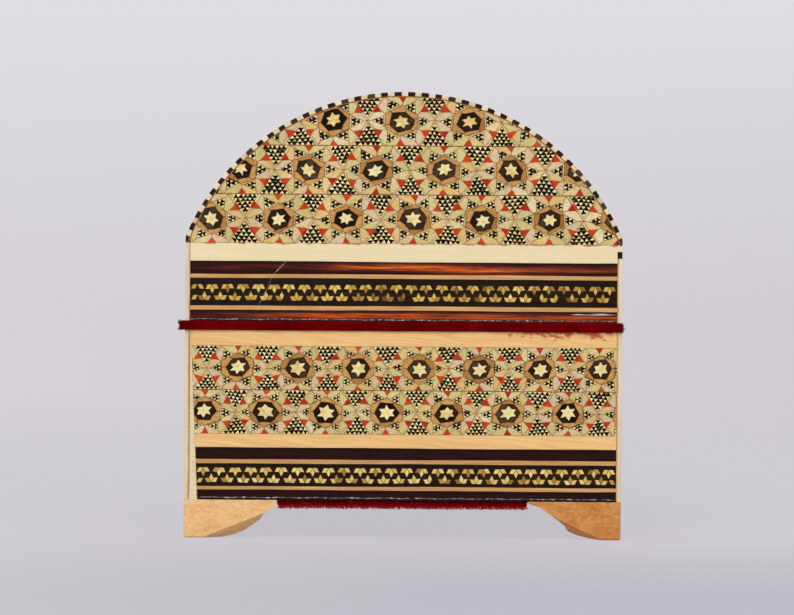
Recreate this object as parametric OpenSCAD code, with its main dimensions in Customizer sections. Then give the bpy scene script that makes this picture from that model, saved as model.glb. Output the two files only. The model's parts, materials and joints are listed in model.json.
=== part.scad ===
/* Inlaid wooden box with a barrel-vaulted lid.
   X runs along the box, the front faces -Y, the hinges are at +Y and Z is up.
   The origin is on the ground, under the middle of the box. */

/* [Overall] */
// Length over the end inlays
box_length = 168; // [130:1:220]
// Width over the front and back inlays
box_width = 112.6; // [90:0.2:140]
// Height of the lid's arch above its springing line
arch_rise = 39.15; // [30:0.05:46]
// How far the arch circle stands past the faces at the springing line
arch_overhang = 0.65; // [0.2:0.05:1.5]

/* [Boards] */
// Thickness of the wall boards and of the lid's rails and ends
board_thick = 5; // [4:0.5:7]
// Thickness of the floor board
floor_thick = 4; // [3:0.5:6]
// Thickness of the bent dome board
dome_thick = 3; // [2:0.5:4]
// Thickness of every inlay sheet, strip and edging
inlay_thick = 1.3; // [0.8:0.1:1.8]
// Gap that the glue fills between a curved face and what sits on it
glue_line = 0.05; // [0.02:0.01:0.1]

/* [Feet] */
// Height of a foot
foot_height = 9.8; // [8:0.1:14]
// Length of a foot along each of its two outer faces
foot_length = 24; // [18:0.5:30]
// Width of the flat that a foot stands on
foot_flat = 4.6; // [3:0.1:7]
// Thickness of a foot at its inner tips
foot_tip = 1.5; // [1:0.1:3]
// How far in from the outer face the foot's lower edge is planed away
foot_bevel_depth = 3; // [2:0.1:5]

/* [Body strips, from the bottom up] */
// Rosewood strip along the bottom
body_low_rosewood_h = 2.6; // [1.5:0.1:5]
// Light line above it
body_low_line_h = 0.95; // [0.6:0.05:1.5]
// Black line under the star band
body_low_black_h = 0.85; // [0.6:0.05:2]
// Band of half stars
body_star_h = 4.0; // [3:0.1:6]
// Black line over the star band
body_high_black_h = 1.0; // [0.6:0.05:2]
// Light line above it
body_high_line_h = 1.1; // [0.6:0.05:1.5]
// Rosewood strip under the lower maple strip
body_high_rosewood_h = 3.0; // [1.5:0.1:5]
// Maple strip under the marquetry
body_low_maple_h = 3.5; // [2:0.1:6]
// Height of one marquetry sheet on the body
body_sheet_h = 11.35; // [9:0.05:14]
// Marquetry sheets one over the other on each side of the body
body_sheets = 2; // [1:1:3]
// Maple strip along the top
body_high_maple_h = 4.0; // [2:0.1:6]

/* [Lid strips, from the bottom up] */
// Rosewood strip along the bottom
lid_low_rosewood_h = 2.85; // [1.5:0.05:5]
// Light line above it
lid_low_line_h = 1.1; // [0.6:0.05:1.5]
// Black line under the star band
lid_low_black_h = 1.3; // [0.6:0.05:2]
// Band of half stars
lid_star_h = 4.2; // [3:0.1:6]
// Black line over the star band
lid_high_black_h = 1.6; // [0.6:0.05:2]
// Light line above it
lid_high_line_h = 1.05; // [0.6:0.05:1.5]
// Rosewood strip under the bone band
lid_high_rosewood_h = 3.3; // [1.5:0.1:5]
// Bone band at the springing line
lid_bone_h = 4.7; // [3:0.1:7]
// Marquetry sheets stacked on each arched end
end_sheets = 3; // [2:1:4]
// Marquetry sheets laid side by side over the dome
dome_sheets = 11; // [8:1:15]
// Glued seam between one marquetry sheet and the next
sheet_seam = 0.1; // [0.05:0.05:0.2]

/* [Edging and checked stringing] */
// Width of the bone edging on the front and back faces
edging_width = 4; // [2.5:0.1:6]
// Width of the tapered slip at the bottom of the right end's front corner
slip_bottom_w = 2.2; // [1:0.1:3]
// Width of the same slip at the top
slip_top_w = 0.3; // [0.2:0.1:1]
// Length of one dark or bone block along the arch
check_length = 1.8; // [1.3:0.05:3]
// Depth of the blocks along the box
check_depth = 2; // [1.4:0.1:3]
// How far the blocks run on below the springing line at the back corners
check_drop = 3.5; // [2.6:0.1:6]

/* [Velvet] */
// Thickness of the lining inside
lining_thick = 1; // [0.6:0.1:1.5]
// Thickness of the velvet on each rim
rim_velvet_thick = 1.05; // [0.9:0.05:1.5]
// Gap between the two velvet rims of the closed box
rim_gap = 0.3; // [0.3:0.05:0.6]
// How far the rim velvet stands past the ends
end_lip = 1; // [0.4:0.1:2]
// Thickness of the velvet under the floor
under_velvet_thick = 1.4; // [0.8:0.1:2]
// How far the velvet under the floor stays back from the faces
under_velvet_setback = 1; // [0.5:0.1:4]
// Gap between the velvet under the floor and the feet
under_velvet_gap = 0.1; // [0.1:0.05:0.5]

/* [Hinges] */
// Length of a hinge
hinge_length = 16; // [12:0.5:24]
// Distance from each end of the box to its hinge
hinge_inset = 30; // [20:1:36]
// Distance from a leaf's inner edge to the board's inner face
leaf_setback = 0.4; // [0:0.1:1]
// Thickness of a leaf
leaf_thick = 0.6; // [0.4:0.05:0.7]
// How far the pin's axis stands behind the back face
hinge_stand_off = 0.1; // [0.1:0.05:0.5]
// Radius of the pin
pin_radius = 0.5; // [0.35:0.05:0.55]
// How far the pin shows at each end
pin_end = 0.3; // [0.2:0.05:0.6]
// Radial clearance of the pin in the body's knuckles
pin_fit = 0.02; // [0.01:0.01:0.04]
// Radial clearance of the pin in the lid's knuckles
pin_running_fit = 0.05; // [0.03:0.01:0.08]
// Gap between one knuckle and the next
knuckle_gap = 0.15; // [0.1:0.05:0.3]
// Gap between the knuckles and the wood above and below them
knuckle_clear = 0.1; // [0.1:0.05:0.3]
// Gap between the knuckles and everything beside them on the other half
knuckle_side_clear = 0.3; // [0.2:0.05:0.5]
// Radius of a nail's shank
nail_radius = 0.4; // [0.3:0.05:0.5]
// Radius of a nail's head
nail_head_radius = 0.8; // [0.7:0.05:1]
// Thickness of a nail's head
nail_head_thick = 0.3; // [0.2:0.05:0.35]
// Length of a nail's shank under its head
nail_length = 6; // [4:0.5:9]
// Radial clearance of a nail in its hole
nail_fit = 0.02; // [0.01:0.01:0.05]
// Distance from a leaf's middle to its outer nails
nail_spacing = 5; // [3.5:0.25:5.5]

/* [Hidden] */
$fn = 96;

// Plan sizes, each measured from the middle of the box
outer_x = box_length / 2;
outer_y = box_width / 2;
core_x = outer_x - inlay_thick;
core_y = outer_y - inlay_thick;
room_x = core_x - board_thick;
room_y = core_y - board_thick;
lined_x = room_x - lining_thick;
lined_y = room_y - lining_thick;
face_x = outer_x - edging_width;
check_x = outer_x - check_depth;

// Heights of the body's strips
body_z = foot_height;
body_low_line_z = body_z + body_low_rosewood_h;
body_low_black_z = body_low_line_z + body_low_line_h;
body_star_z = body_low_black_z + body_low_black_h;
body_high_black_z = body_star_z + body_star_h;
body_high_line_z = body_high_black_z + body_high_black_h;
body_high_rosewood_z = body_high_line_z + body_high_line_h;
body_low_maple_z = body_high_rosewood_z + body_high_rosewood_h;
body_sheet_z = body_low_maple_z + body_low_maple_h;
body_high_maple_z = body_sheet_z + body_sheets * body_sheet_h;
body_top_z = body_high_maple_z + body_high_maple_h;
floor_top_z = body_z + floor_thick;
lining_floor_z = floor_top_z + lining_thick;

// The seam between body and lid holds both velvet rims and the hinge's axis
seam_h = 2 * rim_velvet_thick + rim_gap;
hinge_z = body_top_z + seam_h / 2;
lid_z = body_top_z + seam_h;

// Heights of the lid's strips
lid_low_line_z = lid_z + lid_low_rosewood_h;
lid_low_black_z = lid_low_line_z + lid_low_line_h;
lid_star_z = lid_low_black_z + lid_low_black_h;
lid_high_black_z = lid_star_z + lid_star_h;
lid_high_line_z = lid_high_black_z + lid_high_black_h;
lid_high_rosewood_z = lid_high_line_z + lid_high_line_h;
lid_bone_z = lid_high_rosewood_z + lid_high_rosewood_h;
spring_z = lid_bone_z + lid_bone_h;

// The arch: one circle through both overhanging springing points and the crown
arch_half_chord = outer_y + arch_overhang;
arch_radius = (arch_half_chord * arch_half_chord + arch_rise * arch_rise) / (2 * arch_rise);
arch_z = spring_z + arch_rise - arch_radius;
spring_over_centre = spring_z - arch_z;
inlay_inner_r = arch_radius - inlay_thick;
dome_outer_r = inlay_inner_r - glue_line;
dome_inner_r = dome_outer_r - dome_thick;
end_board_r = dome_inner_r - glue_line;
dome_velvet_inner_r = end_board_r - lining_thick;
end_velvet_r = dome_velvet_inner_r - glue_line;
sector_reach = 2 * arch_radius;
spring_angle = atan2(spring_over_centre, outer_y);
arch_sweep = 180 - 2 * spring_angle;

// The blocks come out odd in number, so that both ends of the arch are dark
check_pairs = round(arch_sweep * PI / 180 * arch_radius / check_length / 2);
check_count = 2 * check_pairs + 1;
check_drop_blocks = 2;

// Hinges
hinge_y = outer_y + hinge_stand_off;
knuckle_radius = seam_h / 2 - knuckle_clear;
leaf_outer_y = hinge_y - knuckle_radius - knuckle_side_clear;
leaf_inner_y = room_y + leaf_setback;
hinge_x = outer_x - hinge_inset - hinge_length / 2;
notch_half_length = hinge_length / 2 + pin_end + knuckle_side_clear;
knuckles = 5;
knuckle_length = (hinge_length - (knuckles - 1) * knuckle_gap) / knuckles;
nail_y = (leaf_inner_y + leaf_outer_y) / 2;
nails_x = [-nail_spacing, 0, nail_spacing];
// The front lip stands out as far as the knuckles do, which centres the box
front_lip = hinge_stand_off + knuckle_radius;

// Feet
foot_tip_z = foot_height - foot_tip;
foot_run = foot_length - foot_flat;
foot_radius = (foot_run * foot_run + foot_tip_z * foot_tip_z) / (2 * foot_tip_z);
foot_slope = atan2(foot_tip_z, foot_run);
foot_sweep = 2 * foot_slope;
foot_facets = 10;
foot_edge = norm([foot_run, foot_tip_z]);
foot_bulge = foot_radius - sqrt(foot_radius * foot_radius - foot_edge * foot_edge / 4);
cut_margin = 5;

maple = "#e8c188";
rosewood = "#341512";
light_wood = "#d9a367";
ebony = "#1b1512";
bone = "#ebdfbb";
marquetry = "#c9b083";
star_wood = "#b49a55";
board_wood = "#b98d5b";
velvet = "#8a0617";
brass = "#b8903f";
steel = "#9a9a96";

// ---- Shared shapes ----

// A block between two opposite corners
module block(low, high) {
    translate(low) cube(high - low);
}

// Extrudes a section drawn in (Y, Z) along X, from x0 to x1
module along_x(x0, x1) {
    translate([x0, 0, 0]) rotate([90, 0, 90]) linear_extrude(x1 - x0) children();
}

// The child and its mirror image across the middle of the box's length
module both_ends() {
    children();
    mirror([1, 0, 0]) children();
}

// A disc of the arch's circle in (Y, Z)
module arch_disc(r) {
    translate([0, arch_z]) circle(r);
}

// The part of a section that lies above the springing line and between two faces
module above_springing(half_width) {
    intersection() {
        children();
        translate([-half_width, spring_z]) square([2 * half_width, 2 * arch_rise]);
    }
}

// The slice of a section between two angles round the arch's centre
module sector(from_angle, to_angle) {
    intersection() {
        children();
        translate([0, arch_z]) polygon(sector_reach * [
            [0, 0], [cos(from_angle), sin(from_angle)], [cos(to_angle), sin(to_angle)]]);
    }
}

// Section of the inlay that wraps the dome, with short upright feet on the faces
module dome_inlay_section() {
    difference() {
        above_springing(outer_y) arch_disc(arch_radius);
        above_springing(core_y) arch_disc(inlay_inner_r);
    }
}

// A strip round all four sides: front and back between the edgings, ends over the full core
module strip_round(z, height) {
    for (side = [0, 1]) mirror([0, side, 0])
        block([-face_x, -outer_y, z], [face_x, -core_y, z + height]);
    for (side = [0, 1]) mirror([side, 0, 0])
        block([core_x, -core_y, z], [outer_x, core_y, z + height]);
}

// The tapered slip at the right end's front corner
module taper_slip() {
    along_x(core_x, outer_x) polygon([
        [-core_y, body_z], [slip_bottom_w - core_y, body_z],
        [slip_top_w - core_y, body_top_z], [-core_y, body_top_z]]);
}

// A strip round the body, fitted against the tapered slip
module body_strip(z, height) {
    difference() {
        strip_round(z, height);
        taper_slip();
    }
}

// ---- Body boards ----

module base_front_board() {
    color(board_wood) block([-core_x, -core_y, body_z], [core_x, -room_y, body_top_z]);
}

module base_back_board() {
    color(board_wood) difference() {
        block([-core_x, room_y, body_z], [core_x, core_y, body_top_z]);
        nail_holes(-1);
    }
}

module base_end_board() {
    color(board_wood) block([room_x, -room_y, body_z], [core_x, room_y, body_top_z]);
}

module base_left_board() {
    mirror([1, 0, 0]) base_end_board();
}

module base_right_board() {
    base_end_board();
}

module base_floor_board() {
    color(board_wood) block([-room_x, -room_y, body_z], [room_x, room_y, floor_top_z]);
}

// ---- Feet ----

// Profile of a foot along one outer face: a short flat, then an arc of planed facets to the tip
module foot_profile() {
    polygon([
        [0, 0],
        for (i = [0:foot_facets]) [
            foot_flat + foot_radius * sin(i * foot_sweep / foot_facets),
            foot_radius * (1 - cos(i * foot_sweep / foot_facets))],
        [foot_length, foot_height],
        [0, foot_height]]);
}

// Removes the lower edge of the face in the YZ plane, down to a straight slope
module foot_bevel_cut() {
    steep = foot_bulge / foot_bevel_depth;
    translate([0, foot_flat, 0]) rotate([foot_slope - 90, 0, 0])
        translate([0, 0, -cut_margin]) linear_extrude(foot_edge + 2 * cut_margin)
            polygon([[-cut_margin, -cut_margin * steep], [-cut_margin, cut_margin],
                [cut_margin / steep, cut_margin]]);
}

// A foot whose outer faces lie in the planes X = 0 and Y = 0
module foot() {
    difference() {
        intersection() {
            along_x(0, foot_length) foot_profile();
            mirror([1, -1, 0]) along_x(0, foot_length) foot_profile();
        }
        foot_bevel_cut();
        mirror([1, -1, 0]) foot_bevel_cut();
    }
}

module foot_at_front_left() {
    color(maple) translate([-outer_x, -outer_y, 0]) foot();
}

module foot_front_left() {
    foot_at_front_left();
}

module foot_front_right() {
    mirror([1, 0, 0]) foot_at_front_left();
}

module foot_back_left() {
    mirror([0, 1, 0]) foot_at_front_left();
}

module foot_back_right() {
    mirror([1, 0, 0]) mirror([0, 1, 0]) foot_at_front_left();
}

// ---- Body inlay ----

// A stack of marquetry sheets, each with half a seam left free above and below it
module sheet_stack(low, high, sheets) {
    sheet_h = (high.z - low.z) / sheets;
    for (sheet = [0:sheets - 1])
        block([low.x, low.y, low.z + sheet * sheet_h + sheet_seam / 2],
            [high.x, high.y, low.z + (sheet + 1) * sheet_h - sheet_seam / 2]);
}

module base_front_khatam() {
    color(marquetry) sheet_stack([-face_x, -outer_y, body_sheet_z],
        [face_x, -core_y, body_high_maple_z], body_sheets);
}

module base_back_khatam() {
    mirror([0, 1, 0]) base_front_khatam();
}

module base_end_khatam() {
    color(marquetry) sheet_stack([core_x, -core_y, body_sheet_z],
        [outer_x, core_y, body_high_maple_z], body_sheets);
}

module base_left_khatam() {
    mirror([1, 0, 0]) base_end_khatam();
}

module base_right_khatam() {
    difference() {
        base_end_khatam();
        taper_slip();
    }
}

module base_upper_maple_strips() {
    color(maple) body_strip(body_high_maple_z, body_high_maple_h);
}

module base_lower_maple_strips() {
    color(maple) body_strip(body_low_maple_z, body_low_maple_h);
}

module base_upper_rosewood_strips() {
    color(rosewood) body_strip(body_high_rosewood_z, body_high_rosewood_h);
}

module base_lower_rosewood_strips() {
    color(rosewood) body_strip(body_z, body_low_rosewood_h);
}

module base_light_lines() {
    color(light_wood) {
        body_strip(body_low_line_z, body_low_line_h);
        body_strip(body_high_line_z, body_high_line_h);
    }
}

module base_black_lines() {
    color(ebony) {
        body_strip(body_low_black_z, body_low_black_h);
        body_strip(body_high_black_z, body_high_black_h);
    }
}

module base_star_bands() {
    color(star_wood) body_strip(body_star_z, body_star_h);
}

module base_corner_edging() {
    color(bone) both_ends() for (side = [0, 1]) mirror([0, side, 0])
        block([face_x, -outer_y, body_z], [outer_x, -core_y, body_top_z]);
}

module base_taper_slip() {
    color(bone) taper_slip();
}

// ---- Body velvet ----

module base_floor_velvet() {
    color(velvet) block([-room_x, -room_y, floor_top_z], [room_x, room_y, lining_floor_z]);
}

module base_wall_velvet() {
    color(velvet) {
        for (side = [0, 1]) mirror([0, side, 0])
            block([-room_x, -room_y, lining_floor_z], [room_x, -lined_y, body_top_z]);
        both_ends() block([lined_x, -room_y, lining_floor_z], [room_x, room_y, body_top_z]);
    }
}

// Velvet on a rim, as a frame with a pocket and a notch for each hinge
module rim_velvet(z, pocket_z) {
    difference() {
        block([-outer_x - end_lip, -outer_y - front_lip, z],
            [outer_x + end_lip, outer_y, z + rim_velvet_thick]);
        block([-lined_x, -lined_y, z - cut_margin],
            [lined_x, lined_y, z + rim_velvet_thick + cut_margin]);
        both_ends() {
            block([hinge_x - hinge_length / 2, leaf_inner_y, pocket_z],
                [hinge_x + hinge_length / 2, outer_y + cut_margin, pocket_z + leaf_thick]);
            block([hinge_x - notch_half_length, leaf_outer_y, z - cut_margin],
                [hinge_x + notch_half_length, outer_y + cut_margin,
                    z + rim_velvet_thick + cut_margin]);
        }
    }
}

module base_rim_velvet() {
    color(velvet) rim_velvet(body_top_z, body_top_z);
}

module underside_velvet() {
    under_x = outer_x - under_velvet_setback;
    under_y = outer_y - under_velvet_setback;
    foot_x = outer_x - foot_length - under_velvet_gap;
    foot_y = outer_y - foot_length - under_velvet_gap;
    color(velvet) difference() {
        block([-under_x, -under_y, body_z - under_velvet_thick], [under_x, under_y, body_z]);
        both_ends() for (side = [0, 1]) mirror([0, side, 0])
            block([foot_x, foot_y, 0], [outer_x, outer_y, body_z + cut_margin]);
    }
}

// ---- Hinges ----

// The knuckle at place i along the hinge, with the web that runs from it into its leaf
module knuckle(i, plate_z) {
    start = hinge_x - hinge_length / 2 + i * (knuckle_length + knuckle_gap);
    along_x(start, start + knuckle_length) {
        translate([hinge_y, hinge_z]) circle(knuckle_radius);
        translate([leaf_outer_y - leaf_thick, plate_z])
            square([hinge_y - leaf_outer_y + leaf_thick, leaf_thick]);
    }
}

// A leaf with its knuckles: plate_z is the plate's underside and head_z where nail heads sit
module hinge_leaf(plate_z, head_z, first_knuckle, bore_radius) {
    difference() {
        union() {
            block([hinge_x - hinge_length / 2, leaf_inner_y, plate_z],
                [hinge_x + hinge_length / 2, leaf_outer_y, plate_z + leaf_thick]);
            for (i = [first_knuckle:2:knuckles - 1]) knuckle(i, plate_z);
        }
        translate([hinge_x - hinge_length, hinge_y, hinge_z]) rotate([0, 90, 0])
            cylinder(h = 2 * hinge_length, r = bore_radius);
        for (x = nails_x) translate([hinge_x + x, nail_y, 0]) {
            translate([0, 0, plate_z - cut_margin])
                cylinder(h = leaf_thick + 2 * cut_margin, r = nail_radius + nail_fit);
            translate([0, 0, head_z]) cylinder(h = nail_head_thick, r = nail_head_radius + nail_fit);
        }
    }
}

module base_leaf() {
    color(brass) hinge_leaf(body_top_z, body_top_z + leaf_thick - nail_head_thick,
        0, pin_radius + pin_fit);
}

module hinge_left_base_leaf() {
    mirror([1, 0, 0]) base_leaf();
}

module hinge_right_base_leaf() {
    base_leaf();
}

module lid_leaf() {
    color(brass) hinge_leaf(lid_z - leaf_thick, lid_z - leaf_thick,
        1, pin_radius + pin_running_fit);
}

module hinge_left_lid_leaf() {
    mirror([1, 0, 0]) lid_leaf();
}

module hinge_right_lid_leaf() {
    lid_leaf();
}

module hinge_pin() {
    color(steel) translate([hinge_x - hinge_length / 2 - pin_end, hinge_y, hinge_z])
        rotate([0, 90, 0]) cylinder(h = hinge_length + 2 * pin_end, r = pin_radius);
}

module hinge_left_pin() {
    mirror([1, 0, 0]) hinge_pin();
}

module hinge_right_pin() {
    hinge_pin();
}

// The three nails of the right hinge's leaf. Direction is -1 into the body, 1 into the lid.
module leaf_nails(direction) {
    rim_z = direction < 0 ? body_top_z : lid_z;
    for (x = nails_x) translate([hinge_x + x, nail_y, rim_z]) mirror([0, 0, direction < 0 ? 1 : 0]) {
        translate([0, 0, -leaf_thick]) cylinder(h = nail_head_thick, r = nail_head_radius);
        translate([0, 0, nail_head_thick - leaf_thick]) cylinder(h = nail_length, r = nail_radius);
    }
}

// Holes for both hinges' nails in a board
module nail_holes(direction) {
    rim_z = direction < 0 ? body_top_z : lid_z;
    both_ends() for (x = nails_x) translate([hinge_x + x, nail_y, rim_z])
        mirror([0, 0, direction < 0 ? 1 : 0]) translate([0, 0, -cut_margin])
            cylinder(h = nail_length + cut_margin, r = nail_radius + nail_fit);
}

module hinge_base_nails() {
    color(brass) both_ends() leaf_nails(-1);
}

module hinge_lid_nails() {
    color(brass) both_ends() leaf_nails(1);
}

// ---- Lid boards ----

module lid_front_rail() {
    color(board_wood) block([-core_x, -core_y, lid_z], [core_x, -room_y, spring_z]);
}

module lid_back_rail() {
    color(board_wood) difference() {
        block([-core_x, room_y, lid_z], [core_x, core_y, spring_z]);
        nail_holes(1);
    }
}

module lid_end() {
    color(board_wood) along_x(room_x, core_x) {
        translate([-room_y, lid_z]) square([2 * room_y, spring_z - lid_z]);
        above_springing(core_y) arch_disc(end_board_r);
    }
}

module lid_left_end() {
    mirror([1, 0, 0]) lid_end();
}

module lid_right_end() {
    lid_end();
}

module lid_dome_board() {
    color(board_wood) along_x(-core_x, core_x) above_springing(core_y) difference() {
        arch_disc(dome_outer_r);
        arch_disc(dome_inner_r);
    }
}

// ---- Lid inlay ----

module lid_dome_khatam() {
    step = arch_sweep / dome_sheets;
    half_seam = sheet_seam / arch_radius * 90 / PI;
    color(marquetry) for (sheet = [0:dome_sheets - 1])
        along_x(-check_x, check_x)
            sector(spring_angle + sheet * step + half_seam,
                    spring_angle + (sheet + 1) * step - half_seam)
                dome_inlay_section();
}

module lid_end_khatam() {
    color(marquetry) intersection() {
        along_x(core_x, outer_x) above_springing(core_y) arch_disc(inlay_inner_r - glue_line);
        sheet_stack([core_x, -core_y, spring_z],
            [outer_x, core_y, arch_z + inlay_inner_r], end_sheets);
    }
}

module lid_left_khatam() {
    mirror([1, 0, 0]) lid_end_khatam();
}

module lid_right_khatam() {
    lid_end_khatam();
}

module lid_bone_strips() {
    color(bone) strip_round(lid_bone_z, lid_bone_h);
}

module lid_upper_rosewood_strips() {
    color(rosewood) strip_round(lid_high_rosewood_z, lid_high_rosewood_h);
}

module lid_lower_rosewood_strips() {
    color(rosewood) strip_round(lid_z, lid_low_rosewood_h);
}

module lid_light_lines() {
    color(light_wood) {
        strip_round(lid_low_line_z, lid_low_line_h);
        strip_round(lid_high_line_z, lid_high_line_h);
    }
}

module lid_black_lines() {
    color(ebony) {
        strip_round(lid_low_black_z, lid_low_black_h);
        strip_round(lid_high_black_z, lid_high_black_h);
    }
}

module lid_star_bands() {
    color(star_wood) strip_round(lid_star_z, lid_star_h);
}

// Two blocks that carry the stringing on below the arch at the back corners
module drop_block(i) {
    drop_h = check_drop / check_drop_blocks;
    both_ends() block([check_x, core_y, spring_z - (i + 1) * drop_h],
        [outer_x, outer_y, spring_z - i * drop_h]);
}

module lid_corner_edging() {
    color(bone) difference() {
        both_ends() for (side = [0, 1]) mirror([0, side, 0])
            block([face_x, -outer_y, lid_z], [outer_x, -core_y, spring_z]);
        for (i = [0:check_drop_blocks - 1]) drop_block(i);
    }
}

// Every second block of the stringing round the arch
module arch_blocks(first) {
    step = arch_sweep / check_count;
    both_ends() for (i = [first:2:check_count - 1])
        along_x(check_x, outer_x)
            sector(spring_angle + i * step, spring_angle + (i + 1) * step)
                dome_inlay_section();
}

module check_dark_blocks() {
    color(ebony) {
        arch_blocks(0);
        drop_block(1);
    }
}

module check_bone_blocks() {
    color(bone) {
        arch_blocks(1);
        drop_block(0);
    }
}

// ---- Lid velvet ----

module lid_dome_velvet() {
    color(velvet) along_x(-room_x, room_x) above_springing(core_y) difference() {
        arch_disc(end_board_r);
        arch_disc(dome_velvet_inner_r);
    }
}

module lid_wall_velvet() {
    color(velvet) {
        for (side = [0, 1]) mirror([0, side, 0])
            block([-room_x, -room_y, lid_z], [room_x, -lined_y, spring_z]);
        both_ends() along_x(lined_x, room_x) {
            translate([-room_y, lid_z]) square([2 * room_y, spring_z - lid_z]);
            above_springing(core_y) arch_disc(end_velvet_r);
        }
    }
}

module lid_rim_velvet() {
    color(velvet) rim_velvet(lid_z - rim_velvet_thick, lid_z - leaf_thick);
}

base_front_board();
base_back_board();
base_left_board();
base_right_board();
base_floor_board();
foot_front_left();
foot_front_right();
foot_back_left();
foot_back_right();
base_front_khatam();
base_back_khatam();
base_left_khatam();
base_right_khatam();
base_upper_maple_strips();
base_lower_maple_strips();
base_upper_rosewood_strips();
base_lower_rosewood_strips();
base_light_lines();
base_black_lines();
base_star_bands();
base_corner_edging();
base_taper_slip();
base_floor_velvet();
base_wall_velvet();
base_rim_velvet();
underside_velvet();
hinge_left_base_leaf();
hinge_right_base_leaf();
hinge_left_pin();
hinge_right_pin();
hinge_base_nails();
lid_front_rail();
lid_back_rail();
lid_left_end();
lid_right_end();
lid_dome_board();
lid_dome_khatam();
lid_left_khatam();
lid_right_khatam();
lid_bone_strips();
lid_upper_rosewood_strips();
lid_lower_rosewood_strips();
lid_light_lines();
lid_black_lines();
lid_star_bands();
lid_corner_edging();
check_dark_blocks();
check_bone_blocks();
lid_dome_velvet();
lid_wall_velvet();
lid_rim_velvet();
hinge_left_lid_leaf();
hinge_right_lid_leaf();
hinge_lid_nails();
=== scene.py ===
"""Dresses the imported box: star marquetry, wood and bone banding, checked stringing, feet and velvet."""

import contextlib
import json
import math
import random

import bmesh
import bpy
from bpy.props import FloatProperty, FloatVectorProperty, IntProperty, PointerProperty
from mathutils import Matrix, Vector

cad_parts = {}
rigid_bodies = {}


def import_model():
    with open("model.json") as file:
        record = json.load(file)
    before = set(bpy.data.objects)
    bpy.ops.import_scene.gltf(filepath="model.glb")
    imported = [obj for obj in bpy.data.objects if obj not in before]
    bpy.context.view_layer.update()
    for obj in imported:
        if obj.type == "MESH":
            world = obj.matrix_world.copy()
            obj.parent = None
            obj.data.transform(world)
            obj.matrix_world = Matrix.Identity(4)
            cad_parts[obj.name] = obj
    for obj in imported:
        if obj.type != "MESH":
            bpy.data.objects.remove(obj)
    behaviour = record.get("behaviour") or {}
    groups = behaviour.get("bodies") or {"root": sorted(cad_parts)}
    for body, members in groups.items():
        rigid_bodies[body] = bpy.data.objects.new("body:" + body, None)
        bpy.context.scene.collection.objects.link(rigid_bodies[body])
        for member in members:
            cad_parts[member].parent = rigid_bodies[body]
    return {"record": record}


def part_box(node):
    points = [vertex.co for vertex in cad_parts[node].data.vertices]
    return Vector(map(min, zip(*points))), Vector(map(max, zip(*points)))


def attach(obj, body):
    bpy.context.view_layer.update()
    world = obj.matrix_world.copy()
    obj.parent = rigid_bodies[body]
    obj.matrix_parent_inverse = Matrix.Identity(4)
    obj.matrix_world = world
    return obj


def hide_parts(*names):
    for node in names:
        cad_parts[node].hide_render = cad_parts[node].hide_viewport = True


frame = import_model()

bl_info = {
    "name": "Inlaid barrel-lidded box",
    "version": (1, 0, 0),
    "blender": (4, 5, 0),
    "location": "View3D > Sidebar > Inlaid Box",
    "description": "Star marquetry, banding, stringing, feet and velvet for a packed wooden box",
    "category": "Object",
}

MM = 0.001
ROOT3 = math.sqrt(3)
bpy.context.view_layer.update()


# ---- Sizes read from the frame, in millimetres ----

def lowest(node):
    """A node's lowest corner in millimetres."""
    return Vector(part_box(node)[0]) / MM


def highest(node):
    """A node's highest corner in millimetres."""
    return Vector(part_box(node)[1]) / MM


def node_levels(node):
    """The heights at which a node's vertices lie, from the bottom up, in millimetres."""
    return sorted({round(v.co.z / MM, 3) for v in bpy.data.objects[node].data.vertices})


OUTER_X = -lowest("base_left_khatam").x
CORE_X = -highest("base_left_khatam").x
CORE_Y = highest("base_left_khatam").y
OUTER_Y = -lowest("base_front_khatam").y
INLAY = OUTER_X - CORE_X
FACE_X = highest("base_front_khatam").x
CHECK_X = highest("lid_dome_khatam").x
BODY_Z = lowest("base_front_board").z
BODY_TOP = highest("base_front_board").z
LID_Z = lowest("lid_front_rail").z
SPRING_Z = highest("lid_front_rail").z
CROWN_Z = highest("lid_dome_khatam").z

# The velvet lining, and the room inside it
LINING = 1.0
ROOM_X = highest("base_floor_velvet").x
ROOM_Y = highest("base_floor_velvet").y
LINED_X, LINED_Y = ROOM_X - LINING, ROOM_Y - LINING

# Marquetry sheets on each face, and the seam of glue between two
SHEET_SEAM = 0.1
DOME_SHEETS, FRONT_DOME_SHEETS = 11, 6
END_MARGIN = 1.3

# Width of the tapered slip at the body's top and bottom
SLIP_TOP, SLIP_BOTTOM = 0.3, 2.2

# The arch's circle, from its crown and the point where it leaves the upright faces
ARCH_OVERHANG = 0.65
ARCH_RISE = CROWN_Z - SPRING_Z
HALF_CHORD = OUTER_Y + ARCH_OVERHANG
ARCH_R = (HALF_CHORD ** 2 + ARCH_RISE ** 2) / (2 * ARCH_RISE)
ARCH_Z = CROWN_Z - ARCH_R
SPRING_ANGLE = math.atan2(SPRING_Z - ARCH_Z, OUTER_Y)
END_R = highest("lid_left_khatam").z - ARCH_Z

# The checked stringing's blocks and the thin line under them
DARK_BLOCKS, BONE_BLOCKS = 42, 41
CHECK_LINE = 0.24

# The velvet rims are notched round the knuckles, which stand behind the box
AXIS_BEHIND, KNUCKLE_R, NOTCH_GAP = 0.1, 1.1, 0.3
NOTCH_Y = OUTER_Y + AXIS_BEHIND - KNUCKLE_R - NOTCH_GAP


def tint(red, green, blue):
    """A colour given as screen values from 0 to 255, as Blender's linear values."""
    def linear(value):
        part = value / 255
        return part / 12.92 if part <= 0.04045 else ((part + 0.055) / 1.055) ** 2.4
    return linear(red), linear(green), linear(blue)


def between(first, second, share):
    """The point, or the colour, at that share of the way from the first to the second."""
    return tuple(a + (b - a) * share for a, b in zip(first, second))


# ---- Settings that a user would change ----

def colour_setting(name, description, *screen):
    """A colour that a user can change."""
    return FloatVectorProperty(name=name, description=description, subtype="COLOR", default=tint(*screen), min=0, max=1)


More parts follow.
